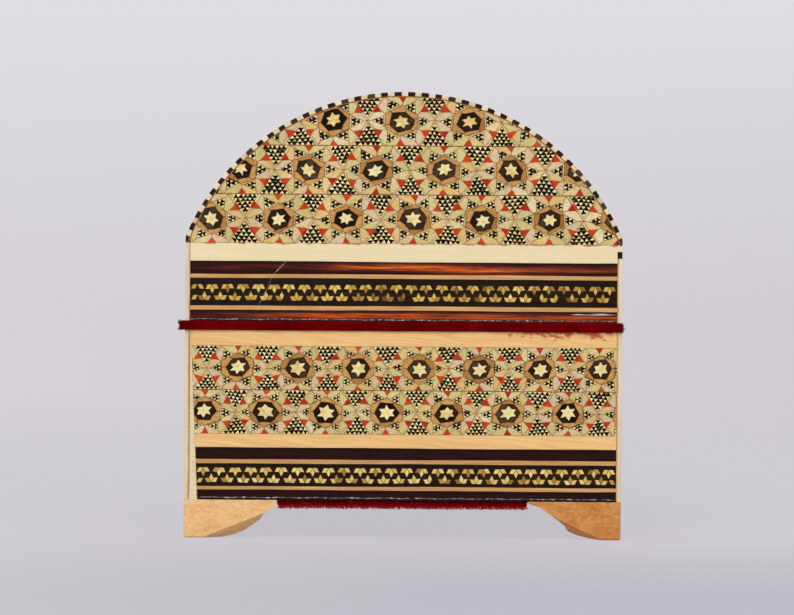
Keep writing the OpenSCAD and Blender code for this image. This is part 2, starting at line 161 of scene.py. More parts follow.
def length_setting(name, description, millimetres, least=0.0):
    """A small length that a user can change."""
    return FloatProperty(name=name, description=description, default=millimetres * MM, min=least * MM,
                         unit="LENGTH", precision=6)


class MarquetrySettings(bpy.types.PropertyGroup):
    """Sizes and colours of the star marquetry."""
    soak: length_setting("Soaked edge", "How far the glue has soaked into the edges of a piece", 0.26)
    waver: length_setting("Waver", "How far the hand-laid pieces stray from the drawn pattern", 0.2)
    star_colour: colour_setting("Stars", "Colour of the six-pointed stars", 248, 232, 168)
    red_colour: colour_setting("Red points", "Colour of the stained red triangles", 206, 52, 18)
    ring_colour: colour_setting("Star rings", "Colour of the orange wood round each star", 202, 146, 80)
    seed: IntProperty(name="Seed", description="Start of the random draws", default=7, min=0)


class BandingSettings(bpy.types.PropertyGroup):
    """Colours of the wood and bone strips, and sizes of the half stars."""
    maple_colour: colour_setting("Maple", "Colour of the light strips", 244, 204, 142)
    rosewood_colour: colour_setting("Rosewood", "Colour of the dark strips", 35, 12, 9)
    line_colour: colour_setting("Light lines", "Colour of the thin light lines", 222, 174, 116)
    bone_colour: colour_setting("Bone", "Colour of the bone band and slip", 236, 219, 178)
    half_star_side: length_setting("Half-star side", "Side of one lozenge in the half-star bands", 1.17, 0.2)
    half_star_pitch: length_setting("Half-star pitch", "From one half star to the next in its row", 3.95, 1)
    half_star_height: length_setting("Half-star height", "Height of one half star", 2.42, 0.5)


class VelvetSettings(bpy.types.PropertyGroup):
    """Colour and nap of the velvet."""
    velvet_colour: colour_setting("Velvet", "Colour of the velvet", 121, 2, 5)
    nap_length: length_setting("Nap", "Length of the loose fibres along the cut edges", 0.42)
    nap_density: FloatProperty(
        name="Nap density", description="Loose fibres on a square metre of cut edge", default=6.0e6, min=0.0)


class StageSettings(bpy.types.PropertyGroup):
    """The floor, the lamps and the camera."""
    camera_distance: FloatProperty(
        name="Camera distance", description="From the right end of the box to the camera",
        default=0.8, min=0.2, unit="LENGTH")
    view_width: FloatProperty(
        name="View width", description="Width of the view at the right end of the box",
        default=0.2045, min=0.05, unit="LENGTH")
    roll: FloatProperty(
        name="Roll", description="How far the camera is turned about its line of sight",
        default=math.radians(0.4), subtype="ANGLE", unit="ROTATION")
    key_power: FloatProperty(
        name="Key lamp", description="Power of the large lamp above", default=11.5, min=0.0, unit="POWER")
    fill_power: FloatProperty(
        name="Fill lamps", description="Power of each lamp at the side", default=4.1, min=0.0, unit="POWER")
    floor_colour: colour_setting("Floor", "Colour of the floor", 206, 203, 209)


def settings():
    """This file's settings on the scene."""
    scene = bpy.context.scene
    return scene.box_marquetry, scene.box_banding, scene.box_velvet, scene.box_stage


# ---- Node trees ----

def put(tree, kind, inputs=None, output=0, **properties):
    """Adds a node to a tree, and gives one of its outputs. A wire is linked to its input, any other value is set."""
    node = tree.nodes.new(kind)
    for name, value in properties.items():
        setattr(node, name, value)
    for key, value in (inputs or {}).items():
        socket = node.inputs[key]
        if isinstance(value, Wire):
            tree.links.new(value.socket, socket)
        elif socket.type == "RGBA" and len(value) == 3:
            socket.default_value = (*value, 1)
        else:
            socket.default_value = value
    return Wire(tree, node.outputs[output])


class Wire:
    """One output in a node tree. Sums written with it add the nodes that work them out."""

    def __init__(self, tree, socket):
        self.tree = tree
        self.socket = socket

    def other(self, name):
        """Another output of the same node."""
        return Wire(self.tree, self.socket.node.outputs[name])

    def sum(self, operation, second=0.0):
        """One sum on this value and a second."""
        return put(self.tree, "ShaderNodeMath", {0: self, 1: second}, operation=operation)

    def __add__(self, second):
        return self.sum("ADD", second)

    def __sub__(self, second):
        return self.sum("SUBTRACT", second)

    def __rsub__(self, first):
        return put(self.tree, "ShaderNodeMath", {0: first, 1: self}, operation="SUBTRACT")

    def __mul__(self, second):
        return self.sum("MULTIPLY", second)

    def __truediv__(self, second):
        return self.sum("DIVIDE", second)

    def __abs__(self):
        return self.sum("ABSOLUTE")

    def vector(self, operation, second=(0, 0, 0), output=0):
        """One sum on this vector and a second."""
        return put(self.tree, "ShaderNodeVectorMath", {0: self, 1: second}, output, operation=operation)

    def part(self, axis):
        """This vector's part along one axis."""
        return put(self.tree, "ShaderNodeSeparateXYZ", {0: self}, axis)

    def spread(self, low, high, to_low=0.0, to_high=1.0):
        """This value taken from one range to another, held at its ends."""
        return put(self.tree, "ShaderNodeMapRange", {
            "Value": self, "From Min": low, "From Max": high, "To Min": to_low, "To Max": to_high})

    def noise(self, scale, detail=3.0, roughness=0.55, stretch=(1, 1, 1)):
        """A noise from 0 to 1 at this place, stretched along the axes."""
        held = put(self.tree, "ShaderNodeMapping", {"Vector": self, "Scale": stretch})
        return put(self.tree, "ShaderNodeTexNoise", {
            "Vector": held, "Scale": scale, "Detail": detail, "Roughness": roughness})

    def ramped(self, shades):
        """A colour from a ramp. Each shade is (position, colour)."""
        shown = put(self.tree, "ShaderNodeValToRGB", {0: self})
        ramp = shown.socket.node.color_ramp
        while len(ramp.elements) < len(shades):
            ramp.elements.new(0.5)
        for element, (position, shade) in zip(ramp.elements, sorted(shades)):
            element.position = position
            element.color = (*shade, 1)
        return shown


def combined(tree, x=0.0, y=0.0, z=0.0):
    """A vector from its three parts."""
    return put(tree, "ShaderNodeCombineXYZ", {0: x, 1: y, 2: z})


def mixed(share, first, second, blend="MIX"):
    """A colour mixed from two, with a share of the second."""
    tree = next(value.tree for value in (share, first, second) if isinstance(value, Wire))
    return put(tree, "ShaderNodeMix", {0: share, 6: first, 7: second}, 2,
               data_type="RGBA", blend_type=blend, clamp_result=True)


# ---- Finishes ----

def finish_named(name, dress, *details, **more):
    """The material of that name, made when it is first asked for, with its shader dressed by a function."""
    material = bpy.data.materials.get(name)
    if not material:
        material = bpy.data.materials.new(name)
        material.use_nodes = True
        tree = material.node_tree
        tree.nodes.clear()
        shader = tree.nodes.new("ShaderNodeBsdfPrincipled")
        tree.links.new(shader.outputs[0], tree.nodes.new("ShaderNodeOutputMaterial").inputs[0])
        dress(shader, put(tree, "ShaderNodeTexCoord", output="Object"), *details, **more)
    return material


def attribute(tree, name):
    """A value that the mesh carries."""
    return put(tree, "ShaderNodeAttribute", output="Fac", attribute_name=name)


def surfaced(shader, colour, roughness, specular, relief=None, depth=0.0):
    """Gives a shader its colour, its roughness and a fine relief as deep as that many millimetres."""
    tree = shader.id_data
    if isinstance(colour, Wire):
        tree.links.new(colour.socket, shader.inputs["Base Color"])
    else:
        shader.inputs["Base Color"].default_value = (*colour, 1)
    shader.inputs["Roughness"].default_value = roughness
    shader.inputs["Specular IOR Level"].default_value = specular
    if relief:
        bump = put(tree, "ShaderNodeBump", {"Strength": 0.5, "Distance": depth * MM, "Height": relief})
        tree.links.new(bump.socket, shader.inputs["Normal"])


def coated(shader, weight, roughness):
    """Adds a smooth clear coat."""
    shader.inputs["Coat Weight"].default_value = weight
    shader.inputs["Coat Roughness"].default_value = roughness


def lacquered(shader, place, weight, roughness=0.12):
    """Adds a clear coat with the slight waves of a hand-brushed lacquer."""
    coated(shader, weight, roughness)
    bump = put(place.tree, "ShaderNodeBump", {
        "Strength": 0.35, "Distance": 0.25 * MM, "Height": place.noise(160, 2.0, 0.5)})
    place.tree.links.new(bump.socket, shader.inputs["Coat Normal"])


# Marks on the right end, as (start, end, half width, strength), with their ends as (y, z): scratches, and painted
# highlights where the lamp glints in the lacquer
SCRATCHES = (((-29.6, 72.0), (-34.1, 67.4), 0.2, 0.55), ((-33.2, 68.6), (-38.4, 57.6), 0.17, 0.3))
PAINTED_GLINTS = (((42.6, 58.02), (54.2, 58.24), 0.3, 0.8), ((43.2, 58.12), (48.4, 58.16), 0.16, 1.0),
                ((47.5, 57.8), (55.2, 58.1), 0.13, 0.6))


def line_mark(place, start, end, width):
    """1 along a thin lens on the box's right end, between two points given as (y, z) in millimetres."""
    run = Vector((0, end[0] - start[0], end[1] - start[1])) * MM
    way, half = run.normalized(), run.length / 2
    held = place.vector("SUBTRACT", (OUTER_X * MM, start[0] * MM, start[1] * MM))
    along = held.vector("DOT_PRODUCT", tuple(way), "Value")
    aside = held.vector("DOT_PRODUCT", (0, -way.z, way.y), "Value")
    share = (along - half) / half
    past = abs(aside) - (1.0 - share * share) * (width * MM)
    return past.spread(0.0, -0.5 * width * MM) * held.part(0).spread(-0.5 * MM, -0.3 * MM)


def scratch_and_painted_glint(place, body):
    """Adds the long scratch across the lid's strips, and a painted highlight near their back end: the lamp's glint in
    the lacquer, painted as a pale streak.
    """
    broken = place.noise(1.0, 3.0, 0.6, (1, 1800, 2600)).spread(0.35, 0.6)
    glint_streaks = place.noise(1.0, 2.0, 0.5, (1, 120, 4200)).spread(0.42, 0.55)
    for marks, texture, shade in ((SCRATCHES, broken, tint(214, 196, 186)),
                                  (PAINTED_GLINTS, glint_streaks, tint(246, 242, 250))):
        for start, end, width, strength in marks:
            body = mixed(line_mark(place, start, end, width) * (texture * strength), body, shade)
    return body


def tile_finish(shader, place, shades, grain=0.22, coat=0.12, patch=0.0, glue=tint(124, 76, 28)):
    """A marquetry piece: its shade comes from its own tone, and glue has soaked into its edges."""
    tree = place.tree
    tone = attribute(tree, "tone")
    if patch:
        tone = tone * (1 - patch) + place.noise(42, 2.0, 0.5).spread(0.35, 0.65) * patch
    fine = place.noise(1500, 4.0, 0.6, (1, 0.6, 1.7))
    dusk = place.noise(130, 2.0, 0.5).spread(0.3, 0.75, 1.0, 0.86)
    value = fine.spread(0.25, 0.75, 1 - grain, 1 + grain * 0.35) * dusk
    wood = mixed(1.0, tone.ramped([(i / (len(shades) - 1), shade) for i, shade in enumerate(shades)]),
                 put(tree, "ShaderNodeCombineColor", {0: value, 1: value, 2: value}), "MULTIPLY")
    ragged = attribute(tree, "edge") + fine.spread(0.25, 0.75, -0.4, 0.4)
    surfaced(shader, mixed(ragged.spread(0.1, 0.9), glue, wood), 0.42, 0.06, fine, 0.02)
    lacquered(shader, place, coat)


def strip_finish(shader, on_box, colour, dark, streak=0.5, coat=0.12, glow=None, stain=None, pores=0.0, tilt=0.0,
                 worn=False):
    """A wood or bone strip with its grain along the strip's own length, which its UV map gives."""
    tree = on_box.tree
    place = put(tree, "ShaderNodeUVMap", uv_map="grain")
    if tilt:
        sway = place.noise(1.0, 1.0, 0.5, (38, 60, 1)).spread(0.2, 0.8, -0.0012, 0.0012)
        place = place.vector("ADD", combined(tree, y=sway))
        place = put(tree, "ShaderNodeMapping", {"Vector": place, "Rotation": (0, 0, tilt)})
    long_grain = place.noise(1.0, 5.0, 0.62, (85, 2300, 1))
    bands = place.noise(1.0, 2.0, 0.5, (16, 460, 1))
    body = mixed(long_grain.spread(0.34, 0.66), colour, between(colour, dark, streak))
    body = mixed(bands.spread(0.45, 0.7, 0, streak * 0.6), body, dark)
    if pores:
        body = mixed(place.noise(1.0, 2.0, 0.5, (700, 5200, 1)).spread(0.64, 0.74, 0, pores), body, dark)
    if glow:
        fire = place.noise(1.0, 6.0, 0.72, (72, 2300, 1))
        lit = fire.spread(0.34, 0.62, 0.2, 1.25) * attribute(tree, "glow")
        body = mixed(lit.spread(0.05, 0.25), body, lit.ramped(glow))
    if stain:
        soaked = attribute(tree, "stain")
        reach = place.noise(1.0, 3.0, 0.6, (420, 700, 1)) + soaked * 0.35
        body = mixed(reach.spread(0.62, 0.78, 0, 0.85) * soaked.spread(0, 0.2), body, stain)
    # worn adds a real scratch and a painted highlight of the lamp in the lacquer
    if worn:
        body = scratch_and_painted_glint(on_box, body)
    surfaced(shader, body, 0.42, 0.06, long_grain, 0.03)
    lacquered(shader, on_box, coat, 0.1)


def bone_edge_finish(shader, place, bone, glue):
    """Bone edging, stained brown by the glue along its joint with the strips."""
    ragged = place.noise(900, 3.0, 0.6, (1, 1, 0.25)).spread(0.2, 0.8, -0.22 * MM, 0.22 * MM)
    joint = (abs(place.part(1)) + ragged).spread((CORE_Y + 0.5) * MM, (CORE_Y + 0.1) * MM)
    fine = place.noise(260, 3.0, 0.6, (1, 1, 0.12))
    body = mixed(fine.spread(0.35, 0.75), bone, between(bone, tint(176, 136, 84), 0.4))
    surfaced(shader, mixed(joint * 0.85, body, glue), 0.42, 0.12, fine, 0.03)
    lacquered(shader, place, 0.15)


def foot_finish(shader, place, colour, dark, coat):
    """A shaped foot: mottled wood with its grain along the end of the box."""
    mottle = place.noise(1.0, 3.0, 0.65, (900, 900, 1500))
    body = mixed(place.noise(1.0, 4.0, 0.6, (420, 190, 520)).spread(0.36, 0.72, 0, 0.75), colour, dark)
    body = mixed(mottle.spread(0.52, 0.72, 0, 0.6), body, between(dark, (0.1, 0.04, 0.01), 0.25))
    body = mixed(mottle.spread(0.46, 0.3, 0, 0.35), body, between(colour, (1.0, 0.8, 0.55), 0.5))
    surfaced(shader, body, 0.5, 0.12, mottle, 0.04)
    lacquered(shader, place, coat, 0.18)


def board_finish(shader, place, colour, dark):
    """Plain sawn boards."""
    rings = place.noise(1.0, 4.0, 0.6, (18, 240, 240))
    surfaced(shader, mixed(rings.spread(0.3, 0.75), colour, dark), 0.65, 0.25, rings, 0.1)


def velvet_finish(shader, place, colour):
    """Velvet: a deep dull pile that catches light at its edges."""
    pile = place.noise(4200, 2.0, 0.7)
    body = mixed(pile.spread(0.35, 0.7), between(colour, (0.02, 0, 0.001), 0.7), colour)
    body = mixed(place.noise(120, 3.0, 0.6).spread(0.4, 0.75, 0.0, 0.3), body, (0.36, 0.004, 0.006))
    surfaced(shader, body, 0.95, 0.0, pile, 0.25)
    shader.inputs["Sheen Weight"].default_value = 0.22
    shader.inputs["Sheen Roughness"].default_value = 0.35
    shader.inputs["Sheen Tint"].default_value = (0.85, 0.06, 0.07, 1)


def metal_finish(shader, place, colour, dull, roughness):
    """Brass or steel, dulled in patches."""
    patch = place.noise(420, 4.0, 0.6)
    surfaced(shader, mixed(patch.spread(0.42, 0.72), colour, dull), roughness, 0.5, patch, 0.03)
    shader.inputs["Metallic"].default_value = 1.0


def bead_dust_and_glint_finish(shader, place, colour, pale):
    """Thick lacquer over dark wood, broken by pale flecks: partly dust caught in the lacquer, partly painted highlights
    of the lamp on its lumps.
    """
    lumps = place.noise(1.0, 3.0, 0.65, (900, 900, 1700))
    surfaced(shader, mixed(lumps.spread(0.5, 0.64), colour, pale), 0.25, 0.5, lumps, 0.06)
    coated(shader, 0.5, 0.08)


def tiles_named(name, shades, grain=0.22, coat=0.12, patch=0.0, glue=(124, 76, 28)):
    """A tile finish from screen colours."""
    return finish_named(name, tile_finish, [tint(*shade) for shade in shades], grain, coat, patch, tint(*glue))


STAR, EBONY, RED, RING, FILLER, CHECK, GLUE, BACK = range(8)


def tile_finishes():
    """The marquetry's finishes, in the order of the names above."""
    marquetry = settings()[0]
    return [
        finish_named("star_yellow", tile_finish, [
            tuple(marquetry.star_colour), tint(252, 234, 168), tint(230, 198, 116)], glue=tint(196, 160, 88)),
        tiles_named("ebony_piece", [(8, 3, 1), (24, 13, 7), (50, 35, 23), (82, 66, 50)], 0.45, 0.05, 0.1, (12, 4, 2)),
        finish_named("red_point", tile_finish, [
            tuple(marquetry.red_colour), tint(224, 70, 30), tint(172, 30, 10)], 0.2, glue=tint(150, 52, 20)),
        finish_named("star_ring_wood", tile_finish, [
            tuple(marquetry.ring_colour), tint(220, 168, 96), tint(166, 108, 48)], 0.34, 0.08, 0.25, tint(112, 62, 22)),
        tiles_named("bone_filler", [
            (236, 218, 180), (228, 212, 150), (214, 196, 128), (226, 200, 164), (228, 192, 116), (238, 222, 174)],
            0.24, 0.06, 0.35, (138, 88, 30)),
        tiles_named("bone_check", [(252, 238, 188), (244, 224, 156), (232, 204, 130), (104, 74, 38)], 0.14,
                    glue=(118, 76, 32)),
        tiles_named("glue_line", [(120, 76, 32), (156, 108, 52)], 0.3),
        tiles_named("marquetry_back", [(150, 112, 66), (150, 112, 66)], 0.3),
    ]


# ---- Meshes ----

def add_object(name, mesh, finish=None):
    """A new object that holds the mesh, in the scene."""
    piece = bpy.data.objects.new(name, mesh)
    bpy.context.scene.collection.objects.link(piece)
    if finish:
        mesh.materials.append(finish)
    return piece


def settle(piece, node, slot, replaced=True):
    """Puts a finished piece on its node's body, and in the node's place."""
    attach(piece, body_of(node))
    if replaced:
        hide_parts(node)


def body_of(node):
    """The body that a node belongs to."""
    return next(name for name, held in frame["record"]["behaviour"]["bodies"].items() if node in held)


@contextlib.contextmanager
def opened(mesh):
    """A mesh's shell, open for changes that are written back afterwards."""
    shell = bmesh.new()
    shell.from_mesh(mesh)
    yield shell
    shell.to_mesh(mesh)
    shell.free()


def turned_out(mesh, merge=0.0, empty=0.0):
    """Turns a mesh's faces outwards, first with its doubled points merged and its empty faces dissolved if asked."""
    with opened(mesh) as shell:
        if merge:
            bmesh.ops.remove_doubles(shell, verts=shell.verts, dist=merge)
        if empty:
            bmesh.ops.dissolve_degenerate(shell, edges=shell.edges, dist=empty)
        bmesh.ops.recalc_face_normals(shell, faces=shell.faces)


def mesh_of(name, points, faces, finish=None):
    """A mesh from points in millimetres."""
    mesh = bpy.data.meshes.new(name)
    mesh.from_pydata([Vector(point) * MM for point in points], [], faces)
    if finish:
        mesh.materials.append(finish)
    return mesh


def carry(mesh, name, values, domain="POINT"):
    """Stores a value for each point, or each face, for the finishes to read."""
    mesh.attributes.new(name, "FLOAT", domain).data.foreach_set("value", values)


def tube(first, count, size):
    """Faces that join rings of so many points, numbered from the first, and close both ends."""
    rings = [first + size * i for i in range(count)]
    faces = [[a + k, b + k, b + (k + 1) % size, a + (k + 1) % size] for a, b in zip(rings, rings[1:])
             for k in range(size)]
    return faces + [[rings[0] + k for k in range(size)], [rings[-1] + k for k in reversed(range(size))]]


def evenly(start, end, step):
    """Evenly spaced values from start to end."""
    count = max(2, round((end - start) / step))
    return [start + (end - start) * i / count for i in range(count + 1)]


def shade_by_angle(piece, degrees):
    """Smooth shading, apart from edges sharper than the angle."""
    piece.data.shade_smooth()
    piece.data.set_sharp_from_angle(angle=math.radians(degrees))
    piece.data.update()


def merged_copy(node, name, bevel, segments=2):
    """A copy of a node's mesh as one clean shell, with its edges eased."""
    mesh = bpy.data.objects[node].data.copy()
    mesh.materials.clear()
    with opened(mesh) as shell:
        bmesh.ops.remove_doubles(shell, verts=shell.verts, dist=1e-7)
        bmesh.ops.dissolve_limit(shell, angle_limit=math.radians(0.5), verts=shell.verts, edges=shell.edges)
        sharp = [e for e in shell.edges if e.is_manifold and e.calc_face_angle() > math.radians(25)]
        bmesh.ops.bevel(shell, geom=sharp, offset=bevel * MM, segments=segments, profile=0.6,
                        affect="EDGES", clamp_overlap=True)
    mesh.name = name
    return add_object(name, mesh)


def joined(name, meshes):
    """One piece from several meshes, with their finishes and attributes."""
    parts = [add_object(f"{name}_{i}", mesh) for i, mesh in enumerate(meshes)]
    with bpy.context.temp_override(active_object=parts[0], selected_editable_objects=parts, object=parts[0],
                                   selected_objects=parts):
        bpy.ops.object.join()
    parts[0].name = name
    parts[0].data.name = name
    return parts[0]


# ---- Feet ----

# Each cut has the underside's middle line and the lower line of the outer faces, as (distance from the corner, height)
ROUND_CUT = (
    [(4.6, 0), (7.5, 0.03), (10.4, 0.16), (12.8, 0.72), (15.1, 1.6), (17.6, 3.1), (19.7, 4.8), (20.8, 6.4),
     (22.4, 7.55), (24, 8.75)],
    [(4.6, 0), (20.8, 6.5), (22.4, 7.55), (24, 8.75)])
HOLLOW_CUT = (
    [(4.6, 0), (6.2, 0.12), (8.4, 0.45), (11, 1.0), (13.45, 2.05), (13.7, 2.95), (15.4, 4.4), (17, 5.6),
     (19, 7.1), (21, 8.35), (24, 9.35)],
    [(4.6, 0), (8.6, 1.9), (15.8, 5.15), (18.2, 6.5), (21, 8.35), (24, 9.35)])
PLANED_DEPTH, PLANED_SLOPE, WORN_EDGE = 3.0, 1.5, 0.55


def level_of(line, value):
    """The height of a line through (place, height) knots."""
    for (a, low), (b, high) in zip(line, line[1:]):
        if value <= b:
            return low + (high - low) * max(0.0, value - a) / (b - a)
    return line[-1][1]


def shaped_foot(node, cut, finish):
    """A hand-cut foot: a block whose undersides curve up to its tips, planed along its outer faces."""
    under, face_line = cut
    low, high = lowest(node), highest(node)
    side_x, side_y = (1 if high.x > 0 else -1), (1 if high.y > 0 else -1)
    top, long = high.z, high.x - low.x
    points, faces, rows = [], [], []

    def at(from_x, from_y, z):
        points.append((side_x * (OUTER_X - from_x), side_y * (OUTER_Y - from_y), z))
        return len(points) - 1

    for s, z in under:
        edge = max(z, level_of(face_line, s))
        depth = min(PLANED_DEPTH, (edge - z) * PLANED_SLOPE)
        rows.append((at(s, 0, edge), at(s, depth, z), at(s, s, z), at(depth, s, z), at(0, s, edge)))
    ground, head_x, head, head_y, head_in = (
        at(0, 0, 0), at(long, 0, top), at(0, 0, top), at(0, long, top), at(long, long, top))
    for a, b in zip(rows, rows[1:]):
        faces += [[a[k], b[k], b[k + 1], a[k + 1]] for k in range(4)]
    faces += [[ground, *(row[0] for row in rows), head_x, head],
              [head, head_y, *(row[4] for row in reversed(rows)), ground],
              [rows[0][2], rows[0][0], ground, rows[0][4]], [head, head_x, head_in, head_y],
              [rows[-1][0], rows[-1][2], head_in, head_x], [rows[-1][2], rows[-1][4], head_y, head_in]]
    name = f"{node}_shaped"
    mesh = mesh_of(name, points, faces)
    turned_out(mesh, 1e-6, 1e-6)
    with opened(mesh) as shell:
        worn = []
        for edge in shell.edges:
            ends = [v.co / MM for v in edge.verts]
            on_x, on_y = (all(abs(abs(v[axis]) - reach) < 0.01 for v in ends)
                          for axis, reach in ((0, OUTER_X), (1, OUTER_Y)))
            on_ground = max(v.z for v in ends) < 0.01 and edge.calc_length() > 1 * MM
            if (on_x and on_y) or ((on_x or on_y) and on_ground):
                worn.append(edge)
        bmesh.ops.bevel(shell, geom=worn, offset=WORN_EDGE * MM, segments=4, profile=0.5, affect="EDGES",
                        clamp_overlap=True)
    piece = add_object(name, mesh, finish)
    shade_by_angle(piece, 24)
    settle(piece, node, "maple_wood")


# ---- Marquetry ----

def polar(radius, degrees):
    """A point at a distance and angle from the origin."""
    return radius * math.cos(math.radians(degrees)), radius * math.sin(math.radians(degrees))


def held(value):
    """A value kept from 0 to 1."""
    return min(1, max(0, value))


def divided(first, second, parts):
    """The points that divide a line, from its start up to but not its end."""
    return [between(first, second, i / parts) for i in range(parts)]


def drawn_in(points, width):
    """The outline of a convex piece, counterclockwise, moved inwards by the width."""
    inner = []
    count = len(points)
    for i in range(count):
        before, here, after = points[i - 1], points[i], points[(i + 1) % count]
        ax, ay = here[0] - before[0], here[1] - before[1]
        bx, by = after[0] - here[0], after[1] - here[1]
        al, bl = math.hypot(ax, ay) or 1, math.hypot(bx, by) or 1
        nx, ny, mx, my = -ay / al, ax / al, -by / bl, bx / bl
        share = width / max(0.2, 1 + nx * mx + ny * my)
        inner.append((here[0] + (nx + mx) * share, here[1] + (ny + my) * share))
    return inner


def cut(points, a, b, c):
    """The part of a convex outline where a * u + b * v <= c."""
    kept = []
    last = points[-1]
    last_side = a * last[0] + b * last[1] - c
    for point in points:
        side = a * point[0] + b * point[1] - c
        if (side <= 0) != (last_side <= 0):
            share = last_side / (last_side - side)
            kept.append(between(last, point, share))
        if side <= 0:
            kept.append(point)
        last, last_side = point, side
    return kept


class Mosaic:
    """Small flat pieces laid edge to edge on a panel, in millimetres along it (u) and up it (v).

    A tile's corners are (u, v, edge), where edge is 0 at a glued joint and 1 in clean wood.
    """

    def __init__(self, draws, soak, waver, rows):
        self.draws = draws
        self.soak = soak
        self.waver = waver
        self.rows = rows
        self.phases = [draws.uniform(0, 2 * math.pi) for _ in range(8)]
        self.tiles = []

    def strayed(self, point):
        """Where a point of the drawn pattern ends up in the hand-laid one. Seams stay straight."""
        u, v, edge = point
        p = self.phases
        free = 0.0
        for low, high in self.rows:
            if low < v < high:
                free = min(1.0, 3 * math.sin(math.pi * (v - low) / (high - low)))
        s = self.waver
        du = s * (math.sin(u * 0.43 + v * 0.31 + p[0]) + 0.6 * math.sin(v * 0.9 - u * 0.22 + p[1])
                  + 0.4 * math.sin(u * 2.3 + v * 1.3 + p[2]) + 0.25 * math.sin(u * 1.1 - v * 3.7 + p[6]))
        dv = s * (math.sin(v * 0.37 - u * 0.47 + p[3]) + 0.6 * math.sin(u * 0.8 + v * 0.3 + p[4])
                  + 0.4 * math.sin(u * 1.9 - v * 2.4 + p[5]) + 0.25 * math.sin(u * 3.9 + v * 0.8 + p[7]))
        return u + du, v + dv * free, edge

    def add(self, points, finish, tone):
        """One tile, as it is."""
        self.tiles.append(([self.strayed(p) for p in points], finish, tone))

    def piece(self, points, finish, tone=None, soak=1.0):
        """One piece, with the glue of its joints soaked into its edges."""
        tone = self.draws.random() if tone is None else tone
        inner = drawn_in(points, self.soak * soak)
        count = len(points)
        for i in range(count):
            k = (i + 1) % count
            self.add([(*points[i], 0), (*points[k], 0), (*inner[k], 1), (*inner[i], 1)], finish, tone)
        self.add([(*p, 1) for p in inner], finish, tone)

    def check_triangle(self, corners, rows, dark):
        """Rows of small triangles: bone one way up, with ebony round them the other way up."""
        p, q, r = corners
        draws = self.draws
        side = math.dist(p, q) / rows

        def at(i, j):
            return (p[0] + ((q[0] - p[0]) * i + (r[0] - p[0]) * j) / rows,
                    p[1] + ((q[1] - p[1]) * i + (r[1] - p[1]) * j) / rows)

        bone = {}
        for j in range(rows):
            for i in range(rows - j):
                corner = [at(i, j), at(i + 1, j), at(i, j + 1)]
                bone[i, j] = drawn_in(corner, side * dark * draws.uniform(0.5, 1.6))
                worn = draws.random()
                self.add([(*c, 1) for c in bone[i, j]], CHECK, draws.uniform(0, 0.72) if worn > 0.035 else 0.98)
                a, b, c = bone[i, j]
                for here, after, inner_after, inner_here, shown in (
                        (corner[0], corner[1], b, a, j == 0),
                        (corner[1], corner[2], c, b, i + j == rows - 1),
                        (corner[2], corner[0], a, c, i == 0)):
                    if shown:
                        self.add([(*here, 0.2), (*after, 0.2), (*inner_after, 0.6), (*inner_here, 0.6)], EBONY,
                                 draws.uniform(0, 0.4))
        for j in range(rows - 1):
            for i in range(rows - 1 - j):
                first, second, third = bone[i + 1, j], bone[i, j + 1], bone[i, j]
                outline = [at(i + 1, j), first[0], first[2], at(i + 1, j + 1), second[1], second[0],
                           at(i, j + 1), third[2], third[1]]
                self.add([(*c, 1) for c in outline], EBONY, draws.uniform(0, 0.26))

    def star_unit(self, cu, cv, pitch, squeeze, look):
        """A star in its ring, six small checked triangles, six red points and the bone between them."""
        draws = self.draws
        turn = look["turn"] + draws.uniform(-8, 8)
        shift_u, shift_v = draws.uniform(-0.16, 0.16), draws.uniform(-0.12, 0.12)
        grown = draws.uniform(0.96, 1.05)
        tip, dark, ring = look["tip"] * grown, look["dark"] * grown, look["ring"]
        notch, mid, corner = tip / ROOT3, dark * ROOT3 / 2, ring * 2 / ROOT3

        def core(radius, degrees):
            x, y = polar(radius * pitch, degrees + turn)
            return cu + shift_u + x, cv + shift_v + y * look["star_squeeze"]

        def at(radius, degrees):
            x, y = polar(radius * pitch, degrees)
            return cu + x, cv + y * squeeze

        def ring_edge(degrees):
            return at(ring / math.cos(math.radians((degrees + 30) % 60 - 30)), degrees)

        middle = core(0, 0)
        base_tone, dark_tone = draws.uniform(0.1, 0.9), draws.uniform(*look["dark_tone"])
        for k in range(6):
            a = 60 * k
            self.piece([middle, core(notch, a), core(tip, a + 30), core(notch, a + 60)],
                       STAR, held(base_tone + draws.uniform(-0.3, 0.3)), 0.16)
            self.piece([core(notch, a), core(tip, a - 30), core(mid, a - 30), core(dark, a),
                        core(mid, a + 30), core(tip, a + 30)], EBONY,
                       held(dark_tone + draws.uniform(-0.25, 0.25)), 1.1)
            self.piece([core(dark, a), ring_edge(a + turn), at(corner, a + 30), ring_edge(a + 60 + turn),
                        core(dark, a + 60), core(mid, a + 30)], RING, None, 0.9)
        side = look["trefoil"] * draws.uniform(0.94, 1.06)
        half = ROOT3 / 4
        point_side = look["point_side"]
        step = point_side / 2
        edge_x, edge_y = polar(half, 30)
        for k in range(6):
            a = 60 * k
            away = look["trefoil_at"] + draws.uniform(-0.006, 0.006)
            lean = draws.uniform(-0.012, 0.012)
            height = side * ROOT3 / 2
            near, far = away - height / 3, away + height * 2 / 3

            def local(x, y):
                """A point in this sixth: x outwards, y counterclockwise."""
                dx, dy = polar(1, a)
                return cu + pitch * (x * dx - y * dy), cv + pitch * squeeze * (x * dy + y * dx)

